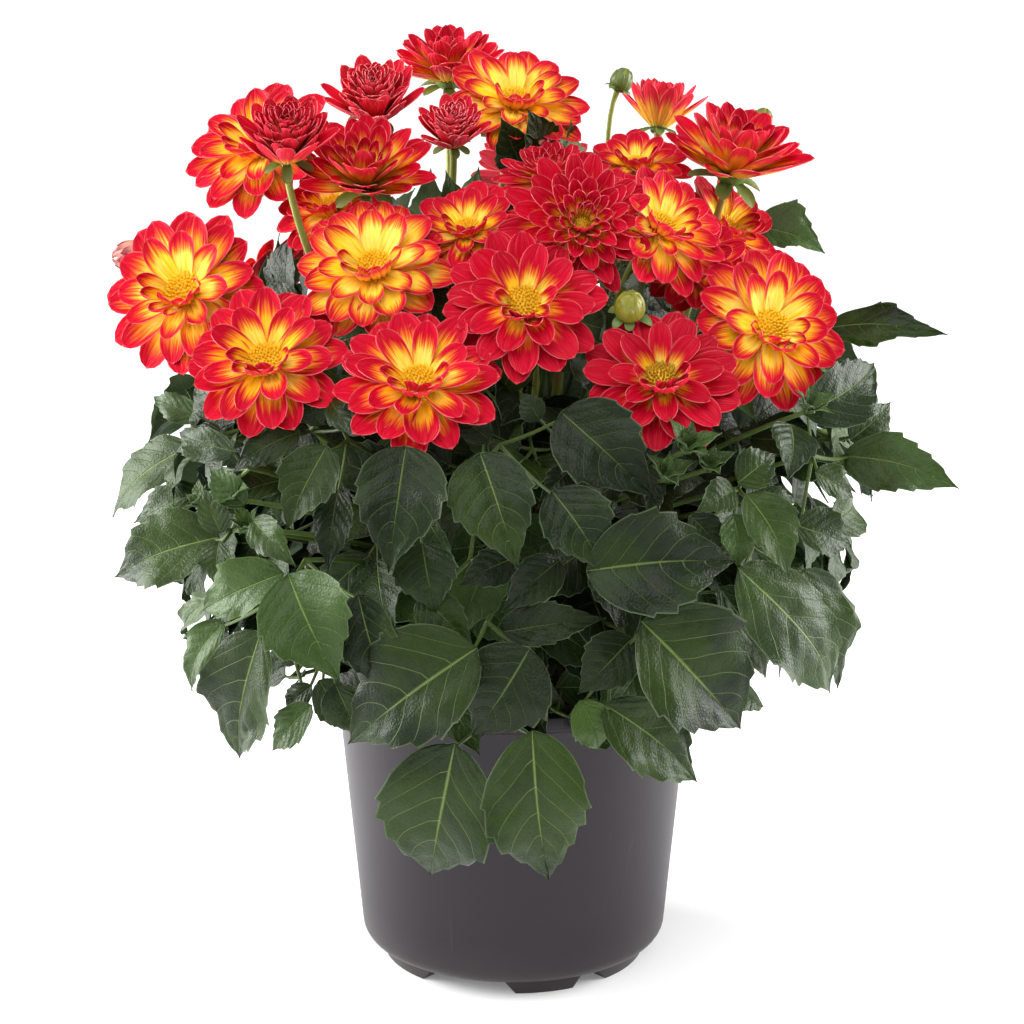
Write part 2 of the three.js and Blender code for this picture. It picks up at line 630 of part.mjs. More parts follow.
function nearby(a, b) {
  const [boxA, boxB] = [a.boundingBox(), b.boundingBox()];
  return [0, 1, 2].every((i) => boxA.min[i] < boxB.max[i] && boxB.min[i] < boxA.max[i]);
}

function place(name, make) {
  let solid = make(0);
  for (const { room } of inPlace) {
    if (nearby(solid, room)) solid = solid.subtract(room);
  }
  const bodies = solid.decompose();
  const largest = bodies.reduce((best, other) => (other.volume() > best.volume() ? other : best));
  inPlace.push({ name, solid: largest, room: make(GAP) });
}

cuttings.forEach((cutting, i) => place(`stem_${i + 1}`, (growth) => makeCutting(cutting, growth)));
place("soil", makeSoil);
place("pot", (growth) => (growth > 0 ? makePotRoom() : makePot()));
for (const head of heads) place(head.name, (growth) => makeHead(head, growth));
for (const leaf of [...leavesInView, ...leavesAtBack]) place(leaf.name, (growth) => makeLeaf(leaf, growth));

const plant = new THREE.Group();
for (const { name, solid } of inPlace) {
  const { vertProperties, triVerts } = solid.getMesh();
  const geometry = new THREE.BufferGeometry();
  geometry.setAttribute("position", new THREE.BufferAttribute(vertProperties, 3));
  geometry.setIndex(new THREE.BufferAttribute(triVerts, 1));
  const mesh = new THREE.Mesh(geometry, new THREE.MeshStandardMaterial(COLORS[name.split("_")[0]]));
  mesh.name = name;
  plant.add(mesh);
}

export default plant;
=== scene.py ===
import math
import random
from collections import namedtuple

import bmesh
import bpy
from mathutils import Matrix, Quaternion, Vector, noise


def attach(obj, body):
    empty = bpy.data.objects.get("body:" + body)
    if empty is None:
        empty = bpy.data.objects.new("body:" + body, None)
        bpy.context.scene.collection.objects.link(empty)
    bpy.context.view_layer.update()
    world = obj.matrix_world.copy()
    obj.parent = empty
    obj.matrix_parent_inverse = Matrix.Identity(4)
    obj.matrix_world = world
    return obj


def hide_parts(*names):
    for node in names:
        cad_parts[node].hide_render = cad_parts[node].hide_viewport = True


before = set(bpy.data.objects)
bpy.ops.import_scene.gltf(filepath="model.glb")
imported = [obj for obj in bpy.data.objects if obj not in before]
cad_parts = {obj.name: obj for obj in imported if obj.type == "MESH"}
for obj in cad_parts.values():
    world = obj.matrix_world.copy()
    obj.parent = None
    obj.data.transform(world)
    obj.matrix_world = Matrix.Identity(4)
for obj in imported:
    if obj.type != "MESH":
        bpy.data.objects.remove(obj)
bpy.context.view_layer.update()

# The camera stands where the photograph was taken from, 1.45 m away and looking 14 degrees down.
# A pixel of its square frame, with a depth, gives each bloom and leaf its place, as in the CAD part.
MM = 0.001
UP = Vector((0, 0, 1))
PIXELS = 1024
MIDDLE_PIXEL = PIXELS / 2
AXIS_COLUMN = 513.5
FOCAL_PIXELS = 2750
SENSOR = 36
PITCH = math.radians(14)
FORWARD = Vector((0, math.cos(PITCH), -math.sin(PITCH)))
UPWARD = Vector((0, math.sin(PITCH), math.cos(PITCH)))
AIM = Vector((0, 0, 0.2425))
DISTANCE = 1.45
EYE = AIM - DISTANCE * FORWARD


def sight_line(px, py):
    across = (px - AXIS_COLUMN) / FOCAL_PIXELS
    up = (MIDDLE_PIXEL - py) / FOCAL_PIXELS
    return Vector((across, 0, 0)) + FORWARD + up * UPWARD


def point_at_depth(px, py, depth):
    """The point that a pixel sees at a depth in mm behind the pot's axis."""
    ray = sight_line(px, py)
    return EYE + ray * ((depth * MM - EYE.y) / ray.y)


def placed(name, data, location=(0, 0, 0), rotation=(0, 0, 0)):
    """A camera, light or mesh as an object in the scene."""
    made = bpy.data.objects.new(name, data)
    made.location = location
    made.rotation_euler = rotation
    bpy.context.collection.objects.link(made)
    return made


lens = bpy.data.cameras.new("camera")
lens.sensor_width = SENSOR
lens.lens = SENSOR * FOCAL_PIXELS / PIXELS
lens.shift_x = (MIDDLE_PIXEL - AXIS_COLUMN) / PIXELS
bpy.context.scene.camera = placed("camera", lens, EYE, (math.pi / 2 - PITCH, 0, 0))


# The floor is a wide matt white board that glows faintly. A large soft light overhead, a little in front
# and to the left, does most of the lighting, a soft box on each side picks out the edges, and a pale room
# fills the shadows.
FLOOR_REACH = 14
ROOM_LIGHT = 0.31
SKY_WAY = Vector((0.22, 0.55, -1))
SKY_POWER, SKY_SPREAD = 3.15, math.radians(70)
# Each box's place, its size and its power in watts.
SOFT_BOXES = {
    "left_box": (Vector((-1.5, 0.3, 0.5)), 1.3, 67),
    "right_box": (Vector((1.6, 0.3, 0.5)), 1.2, 54),
}


class Tone:
    """One output of a material's node. Arithmetic on it adds Math nodes."""

    def __init__(self, finish, socket):
        self.finish = finish
        self.socket = socket

    def math(self, operation, *terms):
        return self.finish.node("ShaderNodeMath", {"operation": operation}, dict(enumerate(terms or [self])))

    def __add__(self, other):
        return self.math("ADD", self, other)

    def __sub__(self, other):
        return self.math("SUBTRACT", self, other)

    def __rsub__(self, other):
        return self.math("SUBTRACT", other, self)

    def __mul__(self, other):
        return self.math("MULTIPLY", self, other)

    __radd__ = __add__
    __rmul__ = __mul__

    def mask(self, low, high):
        """A soft step, from 0 where this is low to 1 where it's high."""
        limits = {"Value": self, "From Min": low, "From Max": high}
        return self.finish.node("ShaderNodeMapRange", {"interpolation_type": "SMOOTHSTEP"}, limits)

    def blend(self, first, second):
        """The first colour where this is 0, and the second where it's 1."""
        return self.finish.node("ShaderNodeMix", {"data_type": "RGBA"}, {0: self, 6: first, 7: second}, 2)


class Finish:
    """A material whose constants are set on its shader, and whose patterns are built node by node."""

    def __init__(self, name, constants):
        self.material = bpy.data.materials.new(name)
        self.material.use_nodes = True
        self.tree = self.material.node_tree
        self.shader = self.tree.nodes["Principled BSDF"]
        for socket, value in constants.items():
            self.shader.inputs[socket].default_value = value
        self.place = self.node("ShaderNodeTexCoord", {}, {}, "Object")

    def node(self, kind, settings, sockets, output=0):
        made = self.tree.nodes.new(kind)
        for name, value in settings.items():
            setattr(made, name, value)
        for name, value in sockets.items():
            self.join(made.inputs[name], value)
        return Tone(self, made.outputs[output])

    def join(self, socket, value):
        if isinstance(value, Tone):
            self.tree.links.new(value.socket, socket)
        elif socket.type == "RGBA" and len(value) == 3:
            socket.default_value = (*value, 1)
        else:
            socket.default_value = value

    def shade(self, sockets):
        for name, value in sockets.items():
            self.join(self.shader.inputs[name], value)

    def noise(self, scale, detail=3, roughness=0.5, place=None):
        sockets = {"Vector": place or self.place, "Scale": scale, "Detail": detail, "Roughness": roughness}
        return self.node("ShaderNodeTexNoise", {}, sockets, "Fac")

    def cells(self, scale):
        return self.node("ShaderNodeTexVoronoi", {}, {"Vector": self.place, "Scale": scale}, "Distance")

    def parts(self, vector):
        split = self.node("ShaderNodeSeparateXYZ", {}, {"Vector": vector})
        return [Tone(self, output) for output in split.socket.node.outputs]

    def attribute(self, name):
        return self.parts(self.node("ShaderNodeAttribute", {"attribute_name": name}, {}, "Vector"))

    def bump(self, height, depth, over=None):
        """Bumps of a depth in metres, over other bumps if they're given."""
        sockets = {"Height": height, "Distance": depth}
        if over:
            sockets["Normal"] = over
        return self.node("ShaderNodeBump", {}, sockets, "Normal")


def mesh_of(name, shape):
    """A shape's mesh. The shape itself is let go."""
    mesh = bpy.data.meshes.new(name)
    shape.to_mesh(mesh)
    shape.free()
    return mesh


def aimed(way):
    """The turn that points a light along a direction."""
    return way.to_track_quat("-Z", "Y").to_euler()


floor_constants = {"Roughness": 0.9, "Specular IOR Level": 0.1, "Emission Strength": 0.16}
floor_finish = Finish("studio_floor", floor_constants)
floor_grain = floor_finish.noise(3, 2)
floor_finish.shade({"Base Color": floor_grain.blend((0.86, 0.86, 0.86), (0.9, 0.9, 0.9))})
floor_shape = bmesh.new()
bmesh.ops.create_grid(floor_shape, x_segments=4, y_segments=4, size=FLOOR_REACH)
floor = placed("floor", mesh_of("floor", floor_shape))
floor.data.materials.append(floor_finish.material)

room = bpy.data.worlds.new("studio_room")
room.use_nodes = True
room_light = room.node_tree.nodes["Background"].inputs
room_light["Color"].default_value = (1, 1, 1, 1)
room_light["Strength"].default_value = ROOM_LIGHT
bpy.context.scene.world = room
bpy.context.scene.view_settings.view_transform = "Standard"

sky_light = bpy.data.lights.new("sky_light", "SUN")
sky_light.energy = SKY_POWER
sky_light.angle = SKY_SPREAD
placed("sky_light", sky_light, rotation=aimed(SKY_WAY))
for name, (spot, size, power) in SOFT_BOXES.items():
    panel = bpy.data.lights.new(name, "AREA")
    panel.size = size
    panel.energy = power
    placed(name, panel, spot, aimed(AIM - spot))


# The pot is a thin-walled nursery pot of dark recycled plastic, injection moulded in one piece, with a
# thickened rim. It stands on six feet under its floor, and six holes let water out.
WALL = 2 * MM
FOOT_HEIGHT = 8 * MM
BASE_RINGS = (0, 24 * MM, 56 * MM)
CORNER, CORNER_RADIUS, CORNER_HEIGHT = 10 * MM, 72 * MM, 18 * MM
FLARE = 0.094
TOP = 160 * MM
RIM_STAND, RIM_HEIGHT = 2.4 * MM, 7 * MM
FOOT_INNER, FOOT_OUTER, NOTCH_TOP = 62 * MM, 70.5 * MM, 7 * MM
RING_OVERLAP = 0.6 * MM
# Where the feet of one third of the ring start and end, in degrees.
FEET = [(-94, -59), (-51, -8)]
FOOT_SLOPE = math.radians(4.9)
FOOT_BEVEL = 0.5 * MM
DRAIN_HOLES = 6
DRAIN_CIRCLE, DRAIN_RADIUS, DRILL_DEPTH = 42 * MM, 6 * MM, 20 * MM
MERGE_DISTANCE = 1e-6


def wall_radius(z):
    return CORNER_RADIUS + CORNER + FLARE * (z - CORNER_HEIGHT)


def corner_arc(radius, steps):
    angles = [-math.pi / 2 + math.pi / 2 * i / steps for i in range(steps + 1)]
    return [(CORNER_RADIUS + radius * math.cos(a), CORNER_HEIGHT + radius * math.sin(a)) for a in angles]


def turned(shape, outline, steps, start=0.0, angle=math.tau):
    """Spins an outline of (radius, height) about the pot's axis, through an angle from the angle start."""
    turn = Matrix.Rotation(start, 4, "Z")
    verts = [shape.verts.new(turn @ Vector((radius, 0, height))) for radius, height in outline]
    whole = angle == math.tau
    if whole:
        geom = verts + [shape.edges.new(pair) for pair in zip(verts, verts[1:])]
    else:
        face = shape.faces.new(verts)
        geom = verts + face.edges[:] + [face]
    about = {"cent": (0, 0, 0), "axis": (0, 0, 1), "dvec": (0, 0, 0)}
    bmesh.ops.spin(shape, geom=geom, angle=angle, steps=steps, use_merge=whole, **about)
    bmesh.ops.remove_doubles(shape, verts=shape.verts[:], dist=MERGE_DISTANCE)
    bmesh.ops.recalc_face_normals(shape, faces=shape.faces[:])


def added(shape, part):
    """Adds one shape to another and lets it go, because a long shape slows every step made on it."""
    mesh = mesh_of("part", part)
    shape.from_mesh(mesh)
    bpy.data.meshes.remove(mesh)


def finished(name, shape, finish, nodes=(), sharp=50):
    """Makes a shape into a piece of the plant, smooth except at edges sharper than the angle given."""
    for face in shape.faces:
        face.smooth = True
    mesh = mesh_of(name, shape)
    mesh.set_sharp_from_angle(angle=math.radians(sharp))
    mesh.materials.append(finish.material)
    piece = placed(name, mesh)
    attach(piece, "root")
    if nodes:
        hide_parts(*nodes)
    return piece


rim_radius = wall_radius(TOP) + RIM_STAND
rim_inside = wall_radius(TOP) - WALL
rim_foot = TOP - RIM_HEIGHT
outside = [(radius, FOOT_HEIGHT) for radius in BASE_RINGS]
outside += corner_arc(CORNER, 10)
outside += [(wall_radius(h * MM), h * MM) for h in range(28, 148, 12)]
outside += [
    (wall_radius(rim_foot - 3 * MM), rim_foot - 3 * MM),
    (wall_radius(rim_foot - 2.4 * MM) + 0.1 * MM, rim_foot - 2.4 * MM),
    (rim_radius - 0.5 * MM, rim_foot - 0.4 * MM),
    (rim_radius, rim_foot + 0.3 * MM),
    (rim_radius, TOP - 1.2 * MM),
    (rim_radius - 0.3 * MM, TOP - 0.35 * MM),
    (rim_radius - 1 * MM, TOP),
]
inside = [(radius, FOOT_HEIGHT + WALL) for radius in BASE_RINGS]
inside += corner_arc(CORNER - WALL, 8)
inside += [(wall_radius(h * MM) - WALL, h * MM) for h in range(40, 156, 20)]
inside += [(rim_inside, TOP - 0.4 * MM), (rim_inside + 0.4 * MM, TOP)]

pot_shape = bmesh.new()
turned(pot_shape, outside + inside[::-1], 192)
ring_top = FOOT_HEIGHT + RING_OVERLAP
ring = [(FOOT_INNER, NOTCH_TOP), (FOOT_OUTER, NOTCH_TOP), (FOOT_OUTER, ring_top), (FOOT_INNER, ring_top)]
band_shape = bmesh.new()
turned(band_shape, ring + ring[:1], 192)
foot_outline = [(FOOT_INNER, 0), (FOOT_OUTER, 0), (FOOT_OUTER, NOTCH_TOP), (FOOT_INNER, NOTCH_TOP)]
for third in range(3):
    for first, last in FEET:
        start = math.radians(first + 120 * third)
        length = math.radians(last - first)
        foot_shape = bmesh.new()
        turned(foot_shape, foot_outline, 20, start, length)
        for vert in foot_shape.verts:
            place = (math.atan2(vert.co.y, vert.co.x) - start) % math.tau
            share = 2 * place / length - 1 if place < math.pi else -1
            low = 1 - vert.co.z / NOTCH_TOP
            vert.co = Matrix.Rotation(-FOOT_SLOPE * share * low, 3, "Z") @ vert.co
        under = [e for e in foot_shape.edges if max(v.co.z for v in e.verts) < NOTCH_TOP / 2]
        rims = [e for e in under if len(e.link_faces) == 2 and e.calc_face_angle() > 1]
        rounding = {"offset": FOOT_BEVEL, "segments": 2, "profile": 0.5, "material": -1}
        bmesh.ops.bevel(foot_shape, geom=rims, affect="EDGES", **rounding)
        added(band_shape, foot_shape)
added(pot_shape, band_shape)

pot_finish = Finish("pot_plastic", {"Specular IOR Level": 0.32})
cloudy = pot_finish.noise(9, 4, 0.6)
grain = pot_finish.noise(900, 2)
stretch = {"Vector": pot_finish.place, "Scale": (1, 1, 0.04)}
scuffs = pot_finish.noise(140, 5, 0.7, pot_finish.node("ShaderNodeMapping", {}, stretch)).mask(0.6, 0.74)
dust = (pot_finish.parts(pot_finish.place)[2] + cloudy * 0.03).mask(0.05, 0)
plastic = cloudy.blend((0.009, 0.0055, 0.009), (0.016, 0.0105, 0.015))
plastic = (scuffs * 0.14).blend(plastic, (0.1, 0.088, 0.092))
pot_finish.shade(
    {
        "Base Color": (dust * 0.3).blend(plastic, (0.12, 0.1, 0.09)),
        "Roughness": cloudy * 0.12 + scuffs * 0.08 + 0.36,
        "Normal": pot_finish.bump(grain * 0.5 + scuffs * 0.3 + cloudy * 2, 0.12 * MM),
    }
)
pot = finished("pot_shell", pot_shape, pot_finish, ["pot"], 35)

drill_shape = bmesh.new()
for hole in range(DRAIN_HOLES):
    spot = Matrix.Translation((DRAIN_CIRCLE, 0, FOOT_HEIGHT))
    spot = Matrix.Rotation(math.tau * hole / DRAIN_HOLES, 4, "Z") @ spot
    size = {"radius1": DRAIN_RADIUS, "radius2": DRAIN_RADIUS, "depth": DRILL_DEPTH}
    bmesh.ops.create_cone(drill_shape, cap_ends=True, segments=32, matrix=spot, **size)
drill = placed("drill", mesh_of("drill", drill_shape))
bore = pot.modifiers.new("drain_holes", "BOOLEAN")
bore.operation = "DIFFERENCE"
bore.object = drill
bored = bpy.data.meshes.new_from_object(pot.evaluated_get(bpy.context.evaluated_depsgraph_get()))
pot.modifiers.remove(bore)
pot.data = bored
bpy.data.objects.remove(drill)


# The soil is a peaty potting mix: dark fibrous peat with crumbs and bark chips on top, poured in and
# pressed down, a little higher in the middle. It fills the pot to 18 mm under the rim.
SOIL_TOP = 142 * MM
SOIL_CROWN = 5 * MM
SOIL_GAP = 2.3 * MM
SOIL_RINGS = (1, 0.97, 0.93, 0.88, 0.82, 0.76, 0.7, 0.64, 0.58, 0.52, 0.46, 0.4, 0.33, 0.26, 0.18, 0.1, 0)
CRUMBS = 420
CRUMB_SIZES = (0.8, 2.6)

soil_edge = wall_radius(SOIL_TOP) - SOIL_GAP


def soil_height(x, y):
    share = min(1, math.hypot(x, y) / soil_edge)
    clods = noise.noise(Vector((x, y, 0)) * 60) * 2.2 + noise.noise(Vector((x, y, 1)) * 210) * 1.1
    return SOIL_TOP + SOIL_CROWN * (1 - share**2) + clods * MM * (1 - share**6)


soil_outline = [(0, FOOT_HEIGHT + SOIL_GAP)] + corner_arc(CORNER - SOIL_GAP, 5)
soil_outline += [(wall_radius(h * MM) - SOIL_GAP, h * MM) for h in (50, 100)]
soil_outline += [(soil_edge * share, SOIL_TOP) for share in SOIL_RINGS]
soil_shape = bmesh.new()
turned(soil_shape, soil_outline, 120)
for vert in soil_shape.verts:
    if vert.co.z > SOIL_TOP - MM:
        vert.co.z = soil_height(vert.co.x, vert.co.y)
chance = random.Random(5)
for crumb in range(CRUMBS):
    crumb_shape = bmesh.new()
    reach = soil_edge * 0.96 * math.sqrt(chance.random())
    turn = chance.uniform(0, math.tau)
    x, y = reach * math.cos(turn), reach * math.sin(turn)
    size = chance.uniform(*CRUMB_SIZES) * MM
    stretch = Vector((1, chance.uniform(0.5, 0.9), chance.uniform(0.3, 0.7)))
    spin = Quaternion((chance.gauss(0, 1), chance.gauss(0, 1), chance.gauss(0, 1)), chance.uniform(0, 3))
    spot = Matrix.LocRotScale(Vector((x, y, soil_height(x, y) + size * 0.2)), spin, stretch * size)
    bmesh.ops.create_icosphere(crumb_shape, subdivisions=1, radius=1, matrix=spot)
    for vert in crumb_shape.verts:
        vert.co += Vector([chance.uniform(-0.2, 0.2) * size for _ in range(3)])
    added(soil_shape, crumb_shape)

soil_finish = Finish("potting_soil", {"Specular IOR Level": 0.25})
peat = soil_finish.noise(260, 6, 0.7)
fibre = soil_finish.cells(420)
damp = soil_finish.noise(24, 3)
earth = peat.blend((0.012, 0.008, 0.005), (0.075, 0.045, 0.026))
bark = (fibre + damp * 0.3).mask(0.62, 0.75)
soil_finish.shade(
    {
        "Base Color": bark.blend(earth, (0.16, 0.095, 0.05)),
        "Roughness": damp * 0.25 + 0.68,
        "Normal": soil_finish.bump(peat + fibre * 0.6, 0.9 * MM),
    }
)
finished("soil_bed", soil_shape, soil_finish, ["soil"])


# The flower heads are placed first, because the stems run to them: open blooms, double ones, bowls and
# cups that are still opening, and buds, all round the top of the plant.
Head = namedtuple("Head", "name point axis radius kind gold dark")

# Every head in view: its pixel and depth in mm behind the pot's axis, its radius in mm, its kind, the way
# that it faces, how far along the petals the gold runs, and how dark it is. A bud's gold is how ripe it is.
HEADS = [
    ("bloom_01", (181, 290, -70), 41, "open", (-0.35, -0.8, 0.48), 0.7, 0),
    ("bloom_02", (265, 359, -128), 38, "open", (-0.15, -0.8, 0.58), 0.62, 0),
    ("bloom_03", (373, 266, -106), 37, "open", (-0.1, -0.75, 0.65), 0.8, 0),
    ("bloom_04", (418, 381, -162), 38, "open", (0, -0.72, 0.69), 0.6, 0),
    ("bloom_05", (524, 303, -138), 37, "open", (0.05, -0.85, 0.52), 0.46, 0.06),
    ("bloom_06", (662, 378, -152), 36, "open", (0.05, -0.75, 0.66), 0.39, 0.22),
    ("bloom_07", (772, 328, -112), 38, "open", (0.3, -0.86, 0.4), 0.72, 0),
    ("bloom_08", (582, 222, -112), 35, "double", (0.1, -0.88, 0.46), 0.5, 0.05),
    ("bloom_09", (467, 228, -86), 29, "open", (-0.1, -0.62, 0.78), 0.6, 0),
    ("bloom_10", (664, 226, -98), 34, "open", (0.5, -0.62, 0.6), 0.66, 0),
    ("bloom_11", (738, 152, -28), 37, "bowl", (0.25, -0.35, 0.9), 0.62, 0),
    ("bloom_12", (516, 99, 6), 36, "open", (0.15, -0.62, 0.77), 0.76, 0),
    ("bloom_13", (448, 62, 62), 31, "bowl", (0, -0.3, 0.95), 0.56, 0),
    ("bloom_14", (373, 91, -2), 25, "cup", (0, -0.54, 0.84), 0.26, 0.04),
    ("bloom_15", (453, 123, -34), 19, "cup", (0, -0.54, 0.84), 0.3, 0.08),
    ("bloom_16", (286, 130, -72), 25, "cup", (0.05, -0.52, 0.85), 0.36, 0),
    ("bloom_17", (259, 144, 4), 40, "open", (-0.35, -0.65, 0.68), 0.68, 0),
    ("bloom_18", (366, 168, -62), 33, "bowl", (0, -0.6, 0.8), 0.62, 0),
    ("bloom_19", (330, 206, -22), 30, "open", (-0.35, -0.6, 0.7), 0.6, 0),
    ("bloom_20", (662, 98, 42), 22, "fan", (0.1, 0.1, 1), 0.6, 0),
    ("bloom_21", (637, 163, -4), 27, "open", (0, -0.5, 0.86), 0.6, 0),
    ("bloom_22", (728, 228, -14), 32, "open", (0.6, -0.55, 0.58), 0.66, 0),
    ("bloom_23", (550, 172, -46), 28, "double", (-0.1, -0.35, 0.93), 0.5, 0),
    ("bloom_24", (694, 262, -62), 27, "open", (0.1, -0.85, 0.5), 0.6, 0),
    ("bud_1", (622, 80, 18), 6, "bud", (0.4, 0, 0.92), 0, 0.7),
    ("bud_2", (630, 306, -136), 7.5, "bud", (0.1, -0.6, 0.75), 0.05, 0),
    ("bud_3", (129, 256, -30), 8, "bud", (-0.85, -0.3, -0.1), 1, 0),
    ("bud_4", (762, 120, 26), 6, "bud", (0.3, 0.2, 0.9), 0.1, 0.5),
    ("bud_5", (535, 143, -8), 8, "bud", (0, -0.2, 0.97), 1, 0),
]
# The heads at the back: the angle round the pot, distance from its axis and height in place of a pixel,
# and no way to face, because they all lean outwards by the same tilt.
BACK_HEADS = [
    ("bloom_25", (29, 158, 350), 36, "open", 0.55, 0),
    ("bloom_26", (60, 158, 362), 37, "open", 0.62, 0),
    ("bloom_27", (91, 164, 348), 38, "open", 0.5, 0),
    ("bloom_28", (121, 158, 360), 36, "open", 0.64, 0),
    ("bloom_29", (151, 158, 348), 37, "open", 0.55, 0),
    ("bloom_30", (84, 112, 408), 33, "double", 0.28, 0),
]
BACK_TILT = 0.6
# How far each kind's foot lies behind its middle, in head radii.
SEATS = {"open": 0.42, "double": 0.5, "bowl": 0.5, "cup": 0.8, "fan": 0.8, "bud": 1}


def level(point):
    return Vector((point.x, point.y, 0))


def round_pot(angle, reach, height):
    turn = math.radians(angle)
    return Vector((reach * math.cos(turn), reach * math.sin(turn), height))


heads = []
for name, spot, radius, kind, face, gold, dark in HEADS:
    heads.append(Head(name, point_at_depth(*spot), Vector(face).normalized(), radius * MM, kind, gold, dark))
for name, (angle, reach, height), radius, kind, gold, dark in BACK_HEADS:
    point = round_pot(angle, reach * MM, height * MM)
    axis = (level(point).normalized() + BACK_TILT * UP).normalized()
    heads.append(Head(name, point, axis, radius * MM, kind, gold, dark))


# The stems are three rooted cuttings, each a thick soft stem that forks into a thin hollow one to each of
# its flowers. They're yellow-green and flushed with red, with small swellings along them.

# Where they stand round the pot in degrees, and the distance from its axis and height of each end.
CUTTING_ANGLES = (-90, 30, 150)
CUTTING_FOOT = (14 * MM, SOIL_TOP - 16 * MM)
CUTTING_TOP = (30 * MM, 262 * MM)
STEM_RADIUS, FLOWER_STEM_RADIUS, BUD_STEM_RADIUS = 4 * MM, 1.9 * MM, 1.3 * MM
STEM_STEPS, FLOWER_STEM_STEPS = 16, 22
# The step at which a flower's stem is swollen, and by how much.
SWOLLEN_STEP, SWELLING = 12, 1.25
SEAT_GAP = 0.3 * MM

cuttings = [(round_pot(angle, *CUTTING_FOOT), round_pot(angle, *CUTTING_TOP)) for angle in CUTTING_ANGLES]


def nearest_cutting(point):
    return max(range(len(cuttings)), key=lambda i: cuttings[i][0].dot(level(point)))


def marked_shape():
    """An empty shape whose points keep where they lie on their petal or leaf, and how it's tinted."""
    shape = bmesh.new()
    for name in ("place", "tint"):
        shape.verts.layers.float_vector.new(name)
    return shape


def marks(shape):
    layers = shape.verts.layers.float_vector
    return layers["place"], layers["tint"]


def marked(shape, verts, place, tint):
    place_mark, tint_mark = marks(shape)
    for vert in verts:
        vert[place_mark] = place
        vert[tint_mark] = tint


def curve(controls, steps):
    """Points along the Bezier curve of three or four control points."""
    points = []
    for step in range(steps + 1):
        row = list(controls)
        while len(row) > 1:
            row = [a.lerp(b, step / steps) for a, b in zip(row, row[1:])]
        points.append(row[0])
    return points


def swept(shape, points, radii, sides, place=(0, 0, 0), tint=(0, 0, 0)):
    """A closed tube along points, with a radius at each, made by extruding a circle from one to the next."""
    part = marked_shape()
    ahead = [b - a for a, b in zip(points, points[1:])]
    ahead.append(ahead[-1])
    turn = ahead[0].to_track_quat("Z", "Y")
    before = Matrix.LocRotScale(points[0], turn, Vector((radii[0],) * 3))
    ring = bmesh.ops.create_circle(part, cap_ends=True, segments=sides, radius=1, matrix=before)["verts"]
    edges = ring[0].link_faces[0].edges[:]
    for point, heading, previous, radius in zip(points[1:], ahead[1:], ahead, radii[1:]):
        turn = previous.rotation_difference(heading) @ turn
        after = Matrix.LocRotScale(point, turn, Vector((radius,) * 3))
        step = bmesh.ops.extrude_edge_only(part, edges=edges)["geom"]
        ring = [piece for piece in step if isinstance(piece, bmesh.types.BMVert)]
        edges = [piece for piece in step if isinstance(piece, bmesh.types.BMEdge)]
        edges = [edge for edge in edges if all(vert in ring for vert in edge.verts)]
        bmesh.ops.transform(part, matrix=after @ before.inverted(), verts=ring)
        before = after
    bmesh.ops.contextual_create(part, geom=edges)
    bmesh.ops.recalc_face_normals(part, faces=part.faces[:])
    marked(part, part.verts, place, tint)
    added(shape, part)


def flower_stem(shape, head, foot, top):
    """The thin stem that leaves a cutting between its foot and top, and ends just under its head."""
    end = head.point - head.axis * (SEATS[head.kind] * head.radius + SEAT_GAP)
    # The further out a head stands, the lower its stem leaves the cutting.
    start = foot.lerp(top, min(1, max(0.2, 0.95 - 4.2 * level(end).length)))
    length = (end - start).length
    leaving = (0.8 * (level(end) - level(start)).normalized() + UP).normalized()
    bend_in = end - head.axis * min(42 * MM, 0.35 * length)
    thickness = BUD_STEM_RADIUS if head.kind == "bud" else FLOWER_STEM_RADIUS
    radii = [thickness * (1.15 - 0.2 * step / FLOWER_STEM_STEPS) for step in range(FLOWER_STEM_STEPS + 1)]
    radii[SWOLLEN_STEP] *= SWELLING
    radii[-1] = thickness * SWELLING
    path = curve([start, start + leaving * 0.35 * length, bend_in, end], FLOWER_STEM_STEPS)
    swept(shape, path, radii, 10)


stem_finish = Finish("stem_skin", {"Specular IOR Level": 0.4})
flush = stem_finish.noise(34, 3).mask(0.45, 0.68)
fine = stem_finish.noise(420, 3)
skin = fine.blend((0.19, 0.26, 0.035), (0.3, 0.34, 0.06))
stem_finish.shade(
    {
        "Base Color": (flush * 0.6).blend(skin, (0.24, 0.075, 0.03)),
        "Roughness": fine * 0.2 + 0.38,
        "Normal": stem_finish.bump(fine, 0.25 * MM),
    }
)
for index, (foot, top) in enumerate(cuttings):
    stem_shape = marked_shape()
    steps = range(STEM_STEPS + 1)
    thick = [foot.lerp(top, step / STEM_STEPS) for step in steps]
    swept(stem_shape, thick, [STEM_RADIUS * (1.08 if step % 5 == 4 else 0.98) for step in steps], 16)
    for head in heads:
        if nearest_cutting(head.point) == index:
            flower_stem(stem_shape, head, foot, top)
    finished(f"cutting_{index + 1}_stems", stem_shape, stem_finish, [f"stem_{index + 1}"])


# The leaves are compound: dark green, toothed, pointed leaflets with sunken pale veins, on thin stalks
# from a long one. They're thin and quilted between the veins, half-glossy above and paler beneath.
BLADE_THICKNESS = 0.35 * MM
BLADE_SKEW, BLADE_WIDEST = 0.74, 0.39
VEINS, TEETH = 6.5, 7
TOOTH_DEPTH = 0.15
# How high a blade arches, quilts, waves along its edge and buckles, as shares of its length.
ARCH, QUILT, WAVE, BUCKLE = 0.1, 0.006, 0.032, 0.05
# How many cells wide and long a blade's grid is.
BLADE_CELLS = (12, 36)
